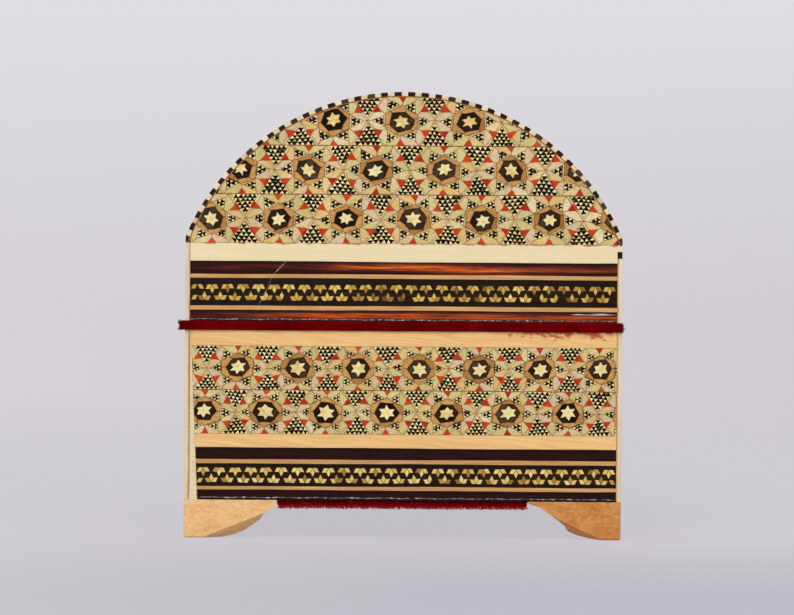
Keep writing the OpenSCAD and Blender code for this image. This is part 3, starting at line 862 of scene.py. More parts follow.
            lower, point, upper = local(near, -side / 2 + lean), local(far, lean), local(near, side / 2 + lean)
            self.check_triangle([lower, point, upper], 3, look["dark_share"] * 1.25)
            lift = half - point_side * ROOT3 / 2
            red_tip = [at(lift, a + 30), at(lift, a - 30)]
            red_side = [local(edge_x + step * 0.5, edge_y - step * ROOT3 / 2),
                        local(edge_x + step * 0.5, -edge_y + step * ROOT3 / 2)]
            hub = local(0.5, 0)
            before, after = at(corner, a - 30), at(corner, a + 30)
            self.piece([before, *divided(lower, upper, 3), upper, after, ring_edge(a + (turn + 30) % 60 - 30)],
                       FILLER, None, 0.6)
            self.piece([hub, red_side[0], red_tip[0], after, *divided(upper, point, 3), point], FILLER, None, 0.7)
            self.piece([before, red_tip[1], red_side[1], hub, *divided(point, lower, 3), lower], FILLER, None, 0.7)
            far_corner = local(edge_x - step * 0.5, edge_y + step * ROOT3 / 2)
            self.piece([red_tip[0], red_side[0], far_corner], RED, None, 0.6)

    def triangle_unit(self, cu, cv, pitch, squeeze, look, up):
        """The large checked triangle between stars, with a thin bone margin on its two free sides."""
        sign = -1 if up else 1
        side = look["check_side"] * self.draws.uniform(0.97, 1.02)
        slide = self.draws.uniform(-0.006, 0.006)
        half = ROOT3 / 4
        step = look["point_side"] / 2

        def at(x, y):
            return cu + pitch * x, cv + sign * pitch * squeeze * y

        def laid(points):
            return points if sign > 0 else list(reversed(points))

        depth = side * ROOT3 / 2
        hub, apex = at(0, 0), at(slide, half - depth)
        left, right = at(slide - side / 2, half), at(slide + side / 2, half)
        self.check_triangle(laid([apex, right, left]), 6, look["dark_share"])
        for way, base in ((1, right), (-1, left)):
            red_low, red_high = (at(way * (0.125 + k * step * 0.5), half / 2 + k * step * ROOT3 / 2) for k in (-1, 1))
            teeth = divided(apex, base, 6) + [base]
            for run, finish in (([hub, red_low, teeth[2], teeth[1], apex], FILLER),
                                ([red_low, red_high, teeth[4], teeth[3], teeth[2]], RED),
                                ([red_high, at(way * 0.25, half), base, teeth[5], teeth[4]], FILLER)):
                self.piece(laid(run if way > 0 else run[::-1]), finish, None, 0.45)

    def row(self, low, high, start, end, offset, look):
        """One sheet of the pattern, from u = start to end, with a star at the offset."""
        pitch = look["pitch"]
        squeeze = (high - low) / (pitch * ROOT3 / 2)
        middle = (low + high) / 2
        first = math.floor((start - offset) / pitch) - 1
        last = math.ceil((end - offset) / pitch) + 1
        for i in range(first, last + 1):
            cu = offset + i * pitch
            if start - pitch * 0.55 < cu < end + pitch * 0.55:
                self.star_unit(cu, middle, pitch, squeeze, look)
            cu += pitch / 2
            if start - pitch * 0.3 < cu < end + pitch * 0.3:
                self.triangle_unit(cu, middle, pitch, squeeze, look, True)
                self.triangle_unit(cu, middle, pitch, squeeze, look, False)

    def seam(self, v, width, start, end):
        """The glue in the seam between two sheets."""
        low, high = v - width / 2, v + width / 2
        count = max(1, round((end - start) / 3))
        for i in range(count):
            a, b = (start + (end - start) * k / count for k in (i, i + 1))
            self.tiles.append(([(a, low, 1), (b, low, 1), (b, high, 1), (a, high, 1)], GLUE, self.draws.random()))

    def recut(self, parts_of):
        """Puts the parts that a function makes of each piece's outline in the piece's place."""
        self.tiles = [(part, finish, tone) for points, finish, tone in self.tiles
                      for part in parts_of(points) if len(part) > 2]

    def trimmed(self, edges):
        """Cuts the pieces along the panel's straight edges, each given as (a, b, c)."""
        for edge in edges:
            self.recut(lambda points: [cut(points, *edge)])

    def trimmed_round(self, radius, centre_v, facets=180):
        """Cuts the pieces along an arch."""
        step = math.pi / facets
        inner = radius * math.cos(step / 2)

        def inside(points):
            if any(math.hypot(p[0], p[1] - centre_v) > inner for p in points):
                angles = [math.atan2(p[1] - centre_v, p[0]) for p in points]
                for i in range(math.floor(min(angles) / step), math.floor(max(angles) / step) + 1):
                    a, b = math.cos((i + 0.5) * step), math.sin((i + 0.5) * step)
                    points = cut(points, a, b, inner + b * centre_v) if len(points) > 2 else []
            return [points]
        self.recut(inside)

    def sliced(self, levels):
        """Cuts the pieces along level lines, so that they can follow a curved face."""
        def slices(points):
            low, high = min(p[1] for p in points), max(p[1] for p in points)
            for bottom, top in zip(levels, levels[1:]):
                if bottom < high and top > low:
                    part = cut(points, 0, -1, -bottom)
                    yield cut(part, 0, 1, top) if len(part) > 2 else part
        self.recut(slices)


def area_of(points):
    """The area inside a flat outline."""
    return sum(points[i - 1][0] * points[i][1] - points[i][0] * points[i - 1][1] for i in range(len(points))) / 2


def mosaic_mesh(name, mosaic, place, outline, levels=None, normal_at=None):
    """The panel's mesh: the laid pieces on its face, plain walls round its outline and a plain back."""
    points, faces, finishes, tones, edges, flat = [], [], [], [], [], []
    us, vs = [p[0] for p in outline], [p[1] for p in outline]
    u0, u1, v0, v1 = min(us), max(us), min(vs), max(vs)

    def lay(corners, finish, tone, depths=None):
        start = len(points)
        for i, (u, v, *edge) in enumerate(corners):
            depth = depths[i] if depths else 0.0
            points.append(place(u, v, depth))
            edges.append(edge[0] if edge else 1.0)
            x, y = (u - u0) / (u1 - u0), (v - v0) / (v1 - v0)
            flat.append((x, 0.97 + 0.03 * (depth / INLAY * 0.5 + y * 0.5)) if depths else (x, y * 0.96))
        faces.append(list(range(start, len(points))))
        finishes.append(finish)
        tones.append(tone)

    for corners, finish, tone in mosaic.tiles:
        if area_of(corners) > 1e-5:
            lay(corners, finish, tone)
    front_faces = len(faces)
    for a, b in zip(outline, outline[1:] + outline[:1]):
        lay([b, a, a, b], BACK, 0.5, [0, 0, INLAY, INLAY])
    if levels:
        for low, high in zip(levels, levels[1:]):
            lay([(u0, high), (u1, high), (u1, low), (u0, low)], BACK, 0.5, [INLAY] * 4)
    else:
        lay(outline[::-1], BACK, 0.5, [INLAY] * len(outline))

    mesh = mesh_of(name, points, faces)
    for finish in tile_finishes():
        mesh.materials.append(finish)
    mesh.polygons.foreach_set("material_index", finishes)
    carry(mesh, "tone", tones, "FACE")
    carry(mesh, "edge", edges)
    mesh.uv_layers.new(name="OFBake").data.foreach_set(
        "uv", [c for loop in mesh.loops for c in flat[loop.vertex_index]])
    if normal_at:
        mesh.shade_smooth()
        mesh.normals_split_custom_set([
            normal_at(mesh.vertices[mesh.loops[loop].vertex_index].co) if polygon.index < front_faces
            else polygon.normal.copy() for polygon in mesh.polygons for loop in polygon.loop_indices])
    mesh.update()
    return mesh


def side_place(side, face_x=OUTER_X, face_y=OUTER_Y):
    """How a point on a flat face, at u along it, v up it and some depth in, lies in space."""
    def place(u, v, depth):
        if side == "right":
            return face_x - depth, u, v
        if side == "left":
            return depth - face_x, -u, v
        if side == "front":
            return u, depth - face_y, v
        return -u, face_y - depth, v
    return place


def slip_width(z):
    """Width of the tapered slip at a height on the body."""
    share = (z - BODY_Z) / (BODY_TOP - BODY_Z)
    return SLIP_BOTTOM + (SLIP_TOP - SLIP_BOTTOM) * share


# How the pattern is drawn, as shares of its pitch, apart from the pitch itself, the turn and the tones
BODY_LOOK = {
    "pitch": 15.6, "turn": 0.0, "tip": 0.138, "dark": 0.198, "ring": 0.252, "star_squeeze": 0.9,
    "dark_tone": (0.35, 0.95), "trefoil": 0.188, "trefoil_at": 0.322, "point_side": 0.122,
    "check_side": 0.44, "dark_share": 0.056}
LID_LOOK = {
    "pitch": 17.4, "turn": 15.0, "tip": 0.117, "dark": 0.187, "ring": 0.231, "star_squeeze": 0.88,
    "dark_tone": (0.2, 0.9), "trefoil": 0.196, "trefoil_at": 0.309, "point_side": 0.122,
    "check_side": 0.44, "dark_share": 0.068}
DOME_PITCH_SHARE = 0.727


def new_mosaic(seed, rows):
    """An empty mosaic over rows of (low, high)."""
    marquetry = settings()[0]
    return Mosaic(random.Random(marquetry.seed * 100 + seed), marquetry.soak / MM, marquetry.waver / MM, rows)


def flat_khatam(node, side, half_width, low, high, offsets, look, seed, edges=(), arch=None):
    """A marquetry panel on one flat side, with a sheet for each offset."""
    sheets = len(offsets)
    height = (high - low) / sheets
    rows = [(low + i * height + SHEET_SEAM / 2 * (i > 0), low + (i + 1) * height - SHEET_SEAM / 2 * (i < sheets - 1))
            for i in range(sheets)]
    mosaic = new_mosaic(seed, rows)
    for (bottom, top), offset in zip(rows, offsets):
        mosaic.row(bottom, top, -half_width, half_width, offset, look)
    for i in range(1, sheets):
        mosaic.seam(low + i * height, SHEET_SEAM, -half_width - 1, half_width + 1)
    mosaic.trimmed([(-1, 0, half_width), (1, 0, half_width), (0, -1, -low), (0, 1, high), *edges])
    if arch:
        mosaic.trimmed_round(arch, ARCH_Z)
        facets = 48
        start = max(math.acos(min(1, half_width / arch)), math.asin((low - ARCH_Z) / arch))
        angles = [start + (math.pi - 2 * start) * i / facets for i in range(facets + 1)]
        outline = [(-half_width, low), (half_width, low)]
        outline += [(arch * math.cos(angle), ARCH_Z + arch * math.sin(angle)) for angle in angles]
    else:
        left_low, left_high = ((-CORE_Y + slip_width(z) if edges else -half_width) for z in (low, high))
        outline = [(left_low, low), (half_width, low), (half_width, high), (left_high, high)]
    name = f"{node}_mosaic"
    settle(add_object(name, mosaic_mesh(name, mosaic, side_place(side), outline)), node, "khatam_inlay")


def dome_khatam():
    """The marquetry bent over the dome, in sheets side by side: the front ones as one piece, the back ones as one."""
    node = "lid_dome_khatam"
    whole_low, whole_high = SPRING_ANGLE * ARCH_R, (math.pi - SPRING_ANGLE) * ARCH_R
    height = (whole_high - whole_low) / DOME_SHEETS
    knee = math.acos(OUTER_Y / ARCH_R) * ARCH_R
    far_knee = math.pi * ARCH_R - knee
    look = dict(LID_LOOK, pitch=height / DOME_PITCH_SHARE)
    offsets = random.Random(settings()[0].seed)
    bands_a_sheet = 6

    def place(u, v, depth):
        angle = v / ARCH_R
        side = max(1e-6, abs(math.cos(angle)))
        away, inner = min(ARCH_R, OUTER_Y / side), min(ARCH_R - INLAY, CORE_Y / side)
        radius = away + (inner - away) * depth / INLAY
        return u, -radius * math.cos(angle), ARCH_Z + radius * math.sin(angle)

    def normal_at(co):
        y, z = co.y / MM, co.z / MM - ARCH_Z
        if abs(y) >= OUTER_Y - 1e-3:
            return Vector((0, math.copysign(1, y), 0))
        return Vector((0, y, z)).normalized()

    for part, first, last in (("front", 0, FRONT_DOME_SHEETS), ("back", FRONT_DOME_SHEETS, DOME_SHEETS)):
        low, high = whole_low + first * height, whole_low + last * height
        rows = [(whole_low + i * height + SHEET_SEAM / 2, whole_low + (i + 1) * height - SHEET_SEAM / 2)
                for i in range(first, last)]
        mosaic = new_mosaic(50 + first, rows)
        for i, (bottom, top) in enumerate(rows, first):
            offset = offsets.uniform(-1.2, 1.2) + (look["pitch"] / 2 if i % 2 else 0)
            mosaic.row(bottom, top, -CHECK_X, CHECK_X, offset, look)
        for i in range(last - first + 1):
            mosaic.seam(low + i * height, SHEET_SEAM, -CHECK_X, CHECK_X)
        mosaic.trimmed([(-1, 0, CHECK_X), (1, 0, CHECK_X), (0, -1, -low), (0, 1, high)])
        bands = [low + height * i / bands_a_sheet for i in range(1, bands_a_sheet * (last - first))]
        levels = sorted({low, high, *(v for v in (knee, far_knee) if low < v < high),
                         *(v for v in bands if knee + 0.3 < v < far_knee - 0.3)})
        mosaic.sliced(levels)
        outline = [(-CHECK_X, low), *((CHECK_X, v) for v in levels), *((-CHECK_X, v) for v in reversed(levels[1:]))]
        name = f"{node}_{part}_mosaic"
        settle(add_object(name, mosaic_mesh(name, mosaic, place, outline, levels, normal_at)), node, "khatam_inlay")


# ---- Strips ----

SIDES = ("front", "back", "left", "right")


def waver_of(level, side, along):
    """How far the joint at a height strays up or down along one side."""
    draws = random.Random(round(level * 100) * 7 + len(side) * 13)
    a, b, c = (draws.uniform(0, 6.28) for _ in range(3))
    return 0.045 * math.sin(along * 0.05 + a) + 0.03 * math.sin(along * 0.13 + b) + 0.012 * math.sin(along * 0.41 + c)


def side_span(side, z, on_body):
    """Start and end of a strip along one side, at a height."""
    if side in ("front", "back"):
        return -FACE_X, FACE_X
    return -CORE_Y + (slip_width(z) if side == "right" and on_body else 0), CORE_Y


def strip_mesh(name, bars, finish, firm, groove, stain_at=None, glow_at=None, sink=0.0, rows=1):
    """Strips round the box. Each bar is (side, z0, z1, on the body). Heights in firm don't waver."""
    points, faces, uvs, stains, glows = [], [], [], [], []
    count, size = 48, rows + 5
    for number, (side, z0, z1, on_body) in enumerate(bars):
        place = side_place(side)
        (low_start, low_end), (high_start, high_end) = side_span(side, z0, on_body), side_span(side, z1, on_body)
        faces += tube(len(points), count + 1, size)
        for i in range(count + 1):
            foot = low_start + (low_end - low_start) * (i / count)
            head = high_start + (high_end - high_start) * (i / count)
            low = z0 + (0 if z0 in firm else waver_of(z0, side, foot))
            high = z1 + (0 if z1 in firm else waver_of(z1, side, head))
            inner = high - low - 2 * groove
            for depth, z in ((INLAY, low), (groove + sink, low),
                             *((sink, low + groove + inner * k / rows) for k in range(rows + 1)),
                             (groove + sink, high), (INLAY, high)):
                rise = (z - low) / (high - low)
                u = foot + (head - foot) * rise
                points.append(place(u, z, depth))
                uvs.append(((u + 37.0 * number) * MM, (z + 5.3 * number) * MM))
                stains.append(stain_at(side, u, z) if stain_at else 0.0)
                glows.append(glow_at(side, u, rise) if glow_at else 0.0)
    mesh = mesh_of(name, points, faces, finish)
    mesh.uv_layers.new(name="grain").data.foreach_set("uv", [c for loop in mesh.loops for c in uvs[loop.vertex_index]])
    carry(mesh, "stain", stains)
    carry(mesh, "glow", glows)
    mesh.update()
    return mesh


def strips_of(node):
    """The strips that a node holds, as (side, z0, z1, on the body)."""
    levels = node_levels(node)
    return [(side, low, high, body_of(node) == "body") for low, high in zip(levels[::2], levels[1::2])
            for side in SIDES]


def bump_at(value, centre, width):
    """A soft bump of height 1."""
    return math.exp(-((value - centre) / width) ** 2)


def maple_stain(side, u, z):
    """How far the velvet's red reaches down the strip under it."""
    near = max(0.0, (z - BODY_TOP + 3.2) / 3.2) ** 1.4
    if side == "right":
        return near * min(1.0, bump_at(u, 36, 10) + bump_at(u, 50, 5) + 0.25 * bump_at(u, 10, 6))
    return near * (0.7 * bump_at(u, -20, 9) + 0.6 * bump_at(u, 44, 6))


def bone_stain(side, u, z):
    """How far the glue shows in the bone band's joint with the marquetry above."""
    return max(0.0, 1 - (SPRING_Z - z) / 0.6) * (0.75 + 0.25 * math.sin(u * 0.6) * math.sin(u * 0.23 + 1))


def along_line(value, knots):
    """A value read off a smooth line through (place, value) knots, held at its ends."""
    if value <= knots[0][0]:
        return knots[0][1]
    for (a, first), (b, second) in zip(knots, knots[1:]):
        if value <= b:
            share = (value - a) / (b - a)
            return first + (second - first) * share * share * (3 - 2 * share)
    return knots[-1][1]


# The rosewood's orange heart along each strip of the lid: its strength, its height and its width
UPPER_HEART = (
    [(-55, 0.2), (-42, 0.28), (-24, 0.27), (-13, 0.8), (-4, 0.98), (24, 0.95), (33, 0.56), (56, 0.5)],
    [(-24, 0.56), (0, 0.58), (20, 0.42), (30, 0.4), (40, 0.48)],
    [(-24, 0.3), (-10, 0.24), (10, 0.3), (28, 0.3), (40, 0.3)])
LOWER_HEART = (
    [(-55, 0.3), (-44, 0.42), (-32, 0.62), (-18, 0.88), (-4, 0.86), (8, 0.72), (30, 0.76), (56, 0.74)],
    [(-50, 0.52), (0, 0.5), (50, 0.42)],
    [(-50, 0.26), (-20, 0.3), (10, 0.32), (50, 0.32)])


def heart_glow(lines, turned):
    """How strongly the heart shows on the lid's strips, with that share of it on the other sides."""
    strength, height, width = lines

    def glow(side, u, rise):
        u = {"right": u, "left": -u * 0.9 + 8, "front": u * 0.6 - 14, "back": 12 - u * 0.6}[side]
        away = (rise - along_line(u, height)) / along_line(u, width)
        return along_line(u, strength) * math.exp(-away ** 2 * 0.8) * (1 if side == "right" else turned)
    return glow


def plain_glow(side, u, rise):
    """The faint red in the middle of the body's darker rosewood."""
    return 0.02 + 0.1 * bump_at(rise, 0.5, 0.34)


def lacquer_bead(name, z, on_body, finish, seed):
    """The uneven bead that the lacquer left just above a lower edge."""
    draws = random.Random(seed)
    points, faces = [], []
    lift = 0.6 if on_body else 0.42
    corners, pace_mm = 6, 0.42
    for side in SIDES:
        place = side_place(side)
        start, end = side_span(side, z, on_body)
        waves = [(draws.uniform(0.3, 3.5), draws.uniform(0, 6.3)) for _ in range(7)]
        count = round((end - start) / pace_mm)
        faces += tube(len(points), count + 1, corners)
        for i in range(count + 1):
            u = start + (end - start) * i / count
            swell = sum(math.sin(u * pace + phase) for pace, phase in waves) / 3.2
            radius = 0.13 + 0.08 * max(-1.0, min(1.0, swell)) + draws.uniform(-0.02, 0.02)
            radius *= 0.3 if i in (0, count) else 1
            rise = z + lift + 0.05 * math.sin(u * 0.7 + seed) + draws.uniform(-0.02, 0.02)
            for k in range(corners):
                out, up = polar(radius, 60 * k + 30)
                points.append(place(u, rise + up * 1.2, 0.03 - 0.8 * out))
    mesh = mesh_of(name, points, faces, finish)
    turned_out(mesh)
    mesh.shade_smooth()
    return mesh


# ---- Half-star bands ----

def lozenge_trio(name, side, rise, thick, kept=(0, 1, 2)):
    """Lozenges that share one corner, lying in the XZ plane with their faces towards -Y, all in metres."""
    top, foot, ends = (0, rise), (0, -rise), [(x * side, 0) for x in (-1.5, -0.5, 0.5, 1.5)]
    trio = [[top, (-side, rise), ends[0], ends[1]], [top, ends[1], foot, ends[2]],
            [top, ends[2], ends[3], (side, rise)]]
    verts, faces = [], []
    for outline in (trio[k] for k in kept):
        outline = drawn_in(outline if area_of(outline) > 0 else outline[::-1], 0.065 * MM)
        start, count = len(verts), len(outline)
        verts += [(x, y, z) for y in (0.0, thick) for x, z in outline]
        faces += [[start + i for i in range(count)], [start + count + i for i in reversed(range(count))]]
        faces += [[start + (i + 1) % count, start + i, start + count + i, start + count + (i + 1) % count]
                  for i in range(count)]
    mesh = bpy.data.meshes.new(name)
    mesh.from_pydata(verts, [], faces)
    return add_object(name, mesh)


def new_tree(name, inputs):
    """An empty Geometry Nodes tree with named inputs after its geometry, and a function that gives each input."""
    tree = bpy.data.node_groups.new(name, "GeometryNodeTree")
    tree.interface.new_socket("Geometry", in_out="INPUT", socket_type="NodeSocketGeometry")
    for title, kind in inputs.items():
        tree.interface.new_socket(title, in_out="INPUT", socket_type=f"NodeSocket{kind}")
    tree.interface.new_socket("Geometry", in_out="OUTPUT", socket_type="NodeSocketGeometry")
    source = tree.nodes.new("NodeGroupInput")
    return tree, lambda title: Wire(tree, source.outputs[title])


def chance(tree, low, high, seed, own=None):
    """A random number, or a random vector, for each point or for each own number."""
    kind, places = ("FLOAT_VECTOR", (0, 1, 0)) if isinstance(low, tuple) else ("FLOAT", (2, 3, 1))
    inputs = {places[0]: low, places[1]: high, "Seed": seed}
    if own:
        inputs["ID"] = own
    return put(tree, "FunctionNodeRandomValue", inputs, places[2], data_type=kind)


def close_tree(tree, given, geometry):
    """Ends a tree in Realize Instances and Set Material."""
    real = put(tree, "GeometryNodeRealizeInstances", {"Geometry": geometry})
    dressed = put(tree, "GeometryNodeSetMaterial", {"Geometry": real, "Material": given("Material")})
    tree.links.new(dressed.socket, tree.nodes.new("NodeGroupOutput").inputs[0])
    return tree


def laid_motifs(tree, given, points, rotation, scale=(1, 1, 1)):
    """The motif at each point, as loose real pieces, and the number of the piece that each face is in."""
    motif = put(tree, "GeometryNodeObjectInfo", {"Object": given("Motif")}, "Geometry")
    laid = put(tree, "GeometryNodeInstanceOnPoints", {
        "Points": points, "Instance": motif, "Rotation": rotation, "Scale": scale})
    return (put(tree, "GeometryNodeRealizeInstances", {"Geometry": laid}),
            put(tree, "GeometryNodeInputMeshIsland", output="Island Index"))


def toned(tree, geometry, seed, island):
    """Gives each loose piece its own random tone."""
    return put(tree, "GeometryNodeStoreNamedAttribute", {
        "Geometry": geometry, "Name": "tone", "Value": chance(tree, 0.0, 1.0, seed, island)},
        data_type="FLOAT", domain="FACE")


def half_star_row_tree():
    """A Geometry Nodes tree that sets a row of motifs along a side of the box, with a few pieces lost."""
    tree, given = new_tree("half_star_row", {
        "Motif": "Object", "Count": "Int", "Pitch": "Float", "Start": "Vector", "Flip": "Float", "Turn": "Float",
        "Seed": "Int", "Material": "Material"})
    seed = given("Seed")
    line = put(tree, "GeometryNodeMeshLine", {
        "Count": given("Count"), "Start Location": given("Start"),
        "Offset": combined(tree, given("Pitch"))})
    moved = put(tree, "GeometryNodeSetPosition", {
        "Geometry": line, "Offset": chance(tree, (-0.16 * MM, 0.0, -0.06 * MM), (0.16 * MM, 0.0, 0.06 * MM), seed)})
    swing = combined(tree, y=chance(tree, -0.08, 0.08, seed) + given("Flip"))
    loose, island = laid_motifs(tree, given, moved, swing)
    fate = chance(tree, 0.0, 1.0, seed + 40, island)
    lost = put(tree, "FunctionNodeCompare", {0: fate, 1: 0.03}, data_type="FLOAT", operation="LESS_THAN")
    kept = put(tree, "GeometryNodeDeleteGeometry", {"Geometry": loose, "Selection": lost}, domain="FACE")
    turned = put(tree, "GeometryNodeTransform", {
        "Geometry": toned(tree, kept, seed, island),
        "Rotation": combined(tree, z=given("Turn"))})
    return close_tree(tree, given, turned)


def arch_row_tree():
    """A Geometry Nodes tree that stands blocks side by side along the lid's arch."""
    tree, given = new_tree("arch_row", {
        "Motif": "Object", "Count": "Int", "Radius": "Float", "Height": "Float", "First": "Float", "Step": "Float",
        "Across": "Float", "Seed": "Int", "Material": "Material"})
    seed, step, radius = given("Seed"), given("Step"), given("Radius")
    line = put(tree, "GeometryNodeMeshLine", {"Count": given("Count")})
    angle = put(tree, "GeometryNodeInputIndex") * step + given("First") + chance(tree, -0.05, 0.05, seed) * step
    spot = combined(tree, given("Across"), angle.sum("COSINE") * (radius * -1.0),
                    angle.sum("SINE") * radius + given("Height"))
    moved = put(tree, "GeometryNodeSetPosition", {"Geometry": line, "Position": spot})
    size = combined(tree, 1.0, chance(tree, 0.9, 1.06, seed + 3), chance(tree, 0.97, 1.0, seed + 5))
    loose, island = laid_motifs(tree, given, moved, combined(tree, math.pi / 2 - angle), size)
    return close_tree(tree, given, toned(tree, loose, seed, island))


def grown_mesh(tree, values, start_mesh=None):
    """The plain mesh that a Geometry Nodes tree makes from named values."""
    holder = add_object("holder", start_mesh or bpy.data.meshes.new("holder"))
    modifier = holder.modifiers.new("nodes", "NODES")
    modifier.node_group = tree
    for item in tree.interface.items_tree:
        if item.in_out == "INPUT" and item.name in values:
            modifier[item.identifier] = values[item.name]
    bpy.context.view_layer.update()
    graph = bpy.context.evaluated_depsgraph_get()
    mesh = bpy.data.meshes.new_from_object(holder.evaluated_get(graph), depsgraph=graph)
    holder.modifiers.clear()
    bpy.data.objects.remove(holder)
    return mesh


def clean_edges(piece):
    """Marks all of a piece as clean wood, away from any glue."""
    carry(piece.data, "edge", [1.0] * len(piece.data.vertices))


TURNS = {"front": 0.0, "right": math.pi / 2, "back": math.pi, "left": -math.pi / 2}
STAR_SINK = 0.025
STAR_GAP = 0.04


def star_band(node, stars, tree, seed):
    """The ebony ground of a node's bands, with two rows of half stars let into it."""
    banding = settings()[1]
    # worn adds a scratch and a painted highlight of the lamp in the lacquer
    ground = finish_named("half_star_ground", strip_finish, tint(14, 7, 3), tint(62, 42, 20), 0.5, 0.06, worn=True)
    bars = strips_of(node)
    meshes = [strip_mesh(f"{node}_ground", bars, ground, (), 0.03, sink=STAR_SINK)]
    side, pitch, rise = banding.half_star_side, banding.half_star_pitch, banding.half_star_height / 2
    whole, left, right = (lozenge_trio("half_star", side, rise, STAR_SINK * MM, kept)
                          for kept in ((0, 1, 2), (0,), (2,)))
    for number, (where, z0, z1, on_body) in enumerate(bars):
        a, b = (end * MM for end in side_span(where, z0, on_body))
        face = (OUTER_Y if where in ("front", "back") else OUTER_X) * MM
        count = round((b - a - 3 * side) / pitch) + 1
        step, start = (b - a - 3.1 * side) / (count - 1), a + 1.55 * side
        above, below = z1 * MM - rise - STAR_GAP * MM, z0 * MM + rise + STAR_GAP * MM
        for place, (motif, size, spot, flip, level) in enumerate((
                (whole, count, start, 0.0, above),
                (whole, count - 1, start + step / 2, math.pi, below),
                (left, 1, start - step / 2 + 0.2 * side, math.pi, below),
                (right, 1, start + step * (count - 0.5) - 0.2 * side, math.pi, below))):
            meshes.append(grown_mesh(tree, {
                "Motif": motif, "Count": size, "Pitch": step, "Start": (spot, -face, level), "Flip": flip,
                "Turn": TURNS[where], "Seed": seed + number * 4 + place, "Material": stars}))
    for motif in (whole, left, right):
        bpy.data.objects.remove(motif)
    piece = joined(f"{node}_half_stars", meshes)
    clean_edges(piece)
    settle(piece, node, "star_inlay")


# ---- Checked stringing and slip ----

def eased_box(low, high, ease, finish=None):
    """A box between two corners, with eased edges, in millimetres."""
    mesh = mesh_of("box", [], [], finish)
    with opened(mesh) as shell:
        bmesh.ops.create_cube(shell, size=1.0)
        for vert in shell.verts:
            vert.co = Vector([(low[i] + high[i]) / 2 + vert.co[i] * (high[i] - low[i]) for i in range(3)]) * MM
        bmesh.ops.bevel(shell, geom=list(shell.edges), offset=ease * MM, segments=1, profile=0.5, affect="EDGES")
    return mesh


def arch_line_mesh(inner, x0, x1, finish):
    """A thin line bent along the arch under the blocks."""
    outer, facets = inner + CHECK_LINE, 110
    angles = [SPRING_ANGLE + (math.pi - 2 * SPRING_ANGLE) * i / facets for i in range(facets + 1)]
    mesh = mesh_of("line", [
        (x, -r * math.cos(angle), ARCH_Z + r * math.sin(angle)) for angle in angles
        for x, r in ((x0, inner), (x1, inner), (x1, outer), (x0, outer))], tube(0, facets + 1, 4), finish)
    turned_out(mesh)
    return mesh


def checked_stringing(tree):
    """The dark and bone blocks along both arched edges, with the thin brown line under them."""
    dark = tiles_named("check_ebony", [(22, 13, 10), (40, 28, 24), (30, 18, 14), (74, 62, 58)], 0.3)
    pale = tiles_named("check_bone", [(240, 226, 188), (232, 212, 164), (244, 234, 206), (222, 196, 148)], 0.2)
    line = finish_named("check_line", board_finish, tint(170, 118, 62), tint(120, 72, 34))
    drop = (SPRING_Z - node_levels("check_dark_blocks")[0]) / 2
    depth, inner, ease = OUTER_X - CHECK_X, ARCH_R - INLAY, 0.05
    step = (math.pi - 2 * SPRING_ANGLE) / (DARK_BLOCKS + BONE_BLOCKS)
    half = ARCH_R * step / 2
    for node, slot, finish, count, lead, proud, place in (
            ("check_dark_blocks", "ebony", dark, DARK_BLOCKS, 0.5, 0.012, 1),
            ("check_bone_blocks", "bone", pale, BONE_BLOCKS, 1.5, 0.0, 0)):
        block = add_object("block", eased_box(
            (-depth - proud, -half, inner + CHECK_LINE - ARCH_R), (proud, half, 0.0), ease))
        meshes = []
        for number, x in enumerate((OUTER_X, -OUTER_X + depth)):
            meshes.append(grown_mesh(tree, {
                "Motif": block, "Count": count, "Radius": ARCH_R * MM, "Height": ARCH_Z * MM,
                "First": SPRING_ANGLE + step * lead, "Step": step * 2, "Across": x * MM,
                "Seed": 5 + number * 9 + place, "Material": finish}))
            meshes.append(eased_box((x - depth - proud, CORE_Y, SPRING_Z - (place + 1) * drop),
                                    (x + proud, OUTER_Y, SPRING_Z - place * drop), ease, finish))
            if finish == pale:
                meshes.append(arch_line_mesh(inner, x - depth, x, line))
        bpy.data.objects.remove(block)
        piece = joined(f"{node}_laid", meshes)
        for vert in piece.data.vertices:
            vert.co.y = max(-OUTER_Y * MM, min(OUTER_Y * MM, vert.co.y))
        clean_edges(piece)
        settle(piece, node, slot)


def slip_mesh(name, finish):
    """The tapered slip beside the strips on the right end, glued along both its sides."""
    points, edges, levels = [], [], evenly(BODY_Z, BODY_TOP, 2.0)
    for z in levels:
        width = slip_width(z)
        line = min(0.2, width * 0.4)
        for u, depth, edge in ((0, INLAY, 0), (0, 0.04, 0), (0.04, 0, 0), (line, 0, 1), (width - line * 0.7, 0, 1),
                               (width - 0.02, 0, 0.1), (width, 0.04, 0), (width, INLAY, 0)):
            points.append(side_place("right")(-CORE_Y + min(u, width), z, depth))
            edges.append(edge)
    mesh = mesh_of(name, points, tube(0, len(levels), 8), finish)
    turned_out(mesh)
    carry(mesh, "edge", edges)
    return mesh


# ---- Velvet ----

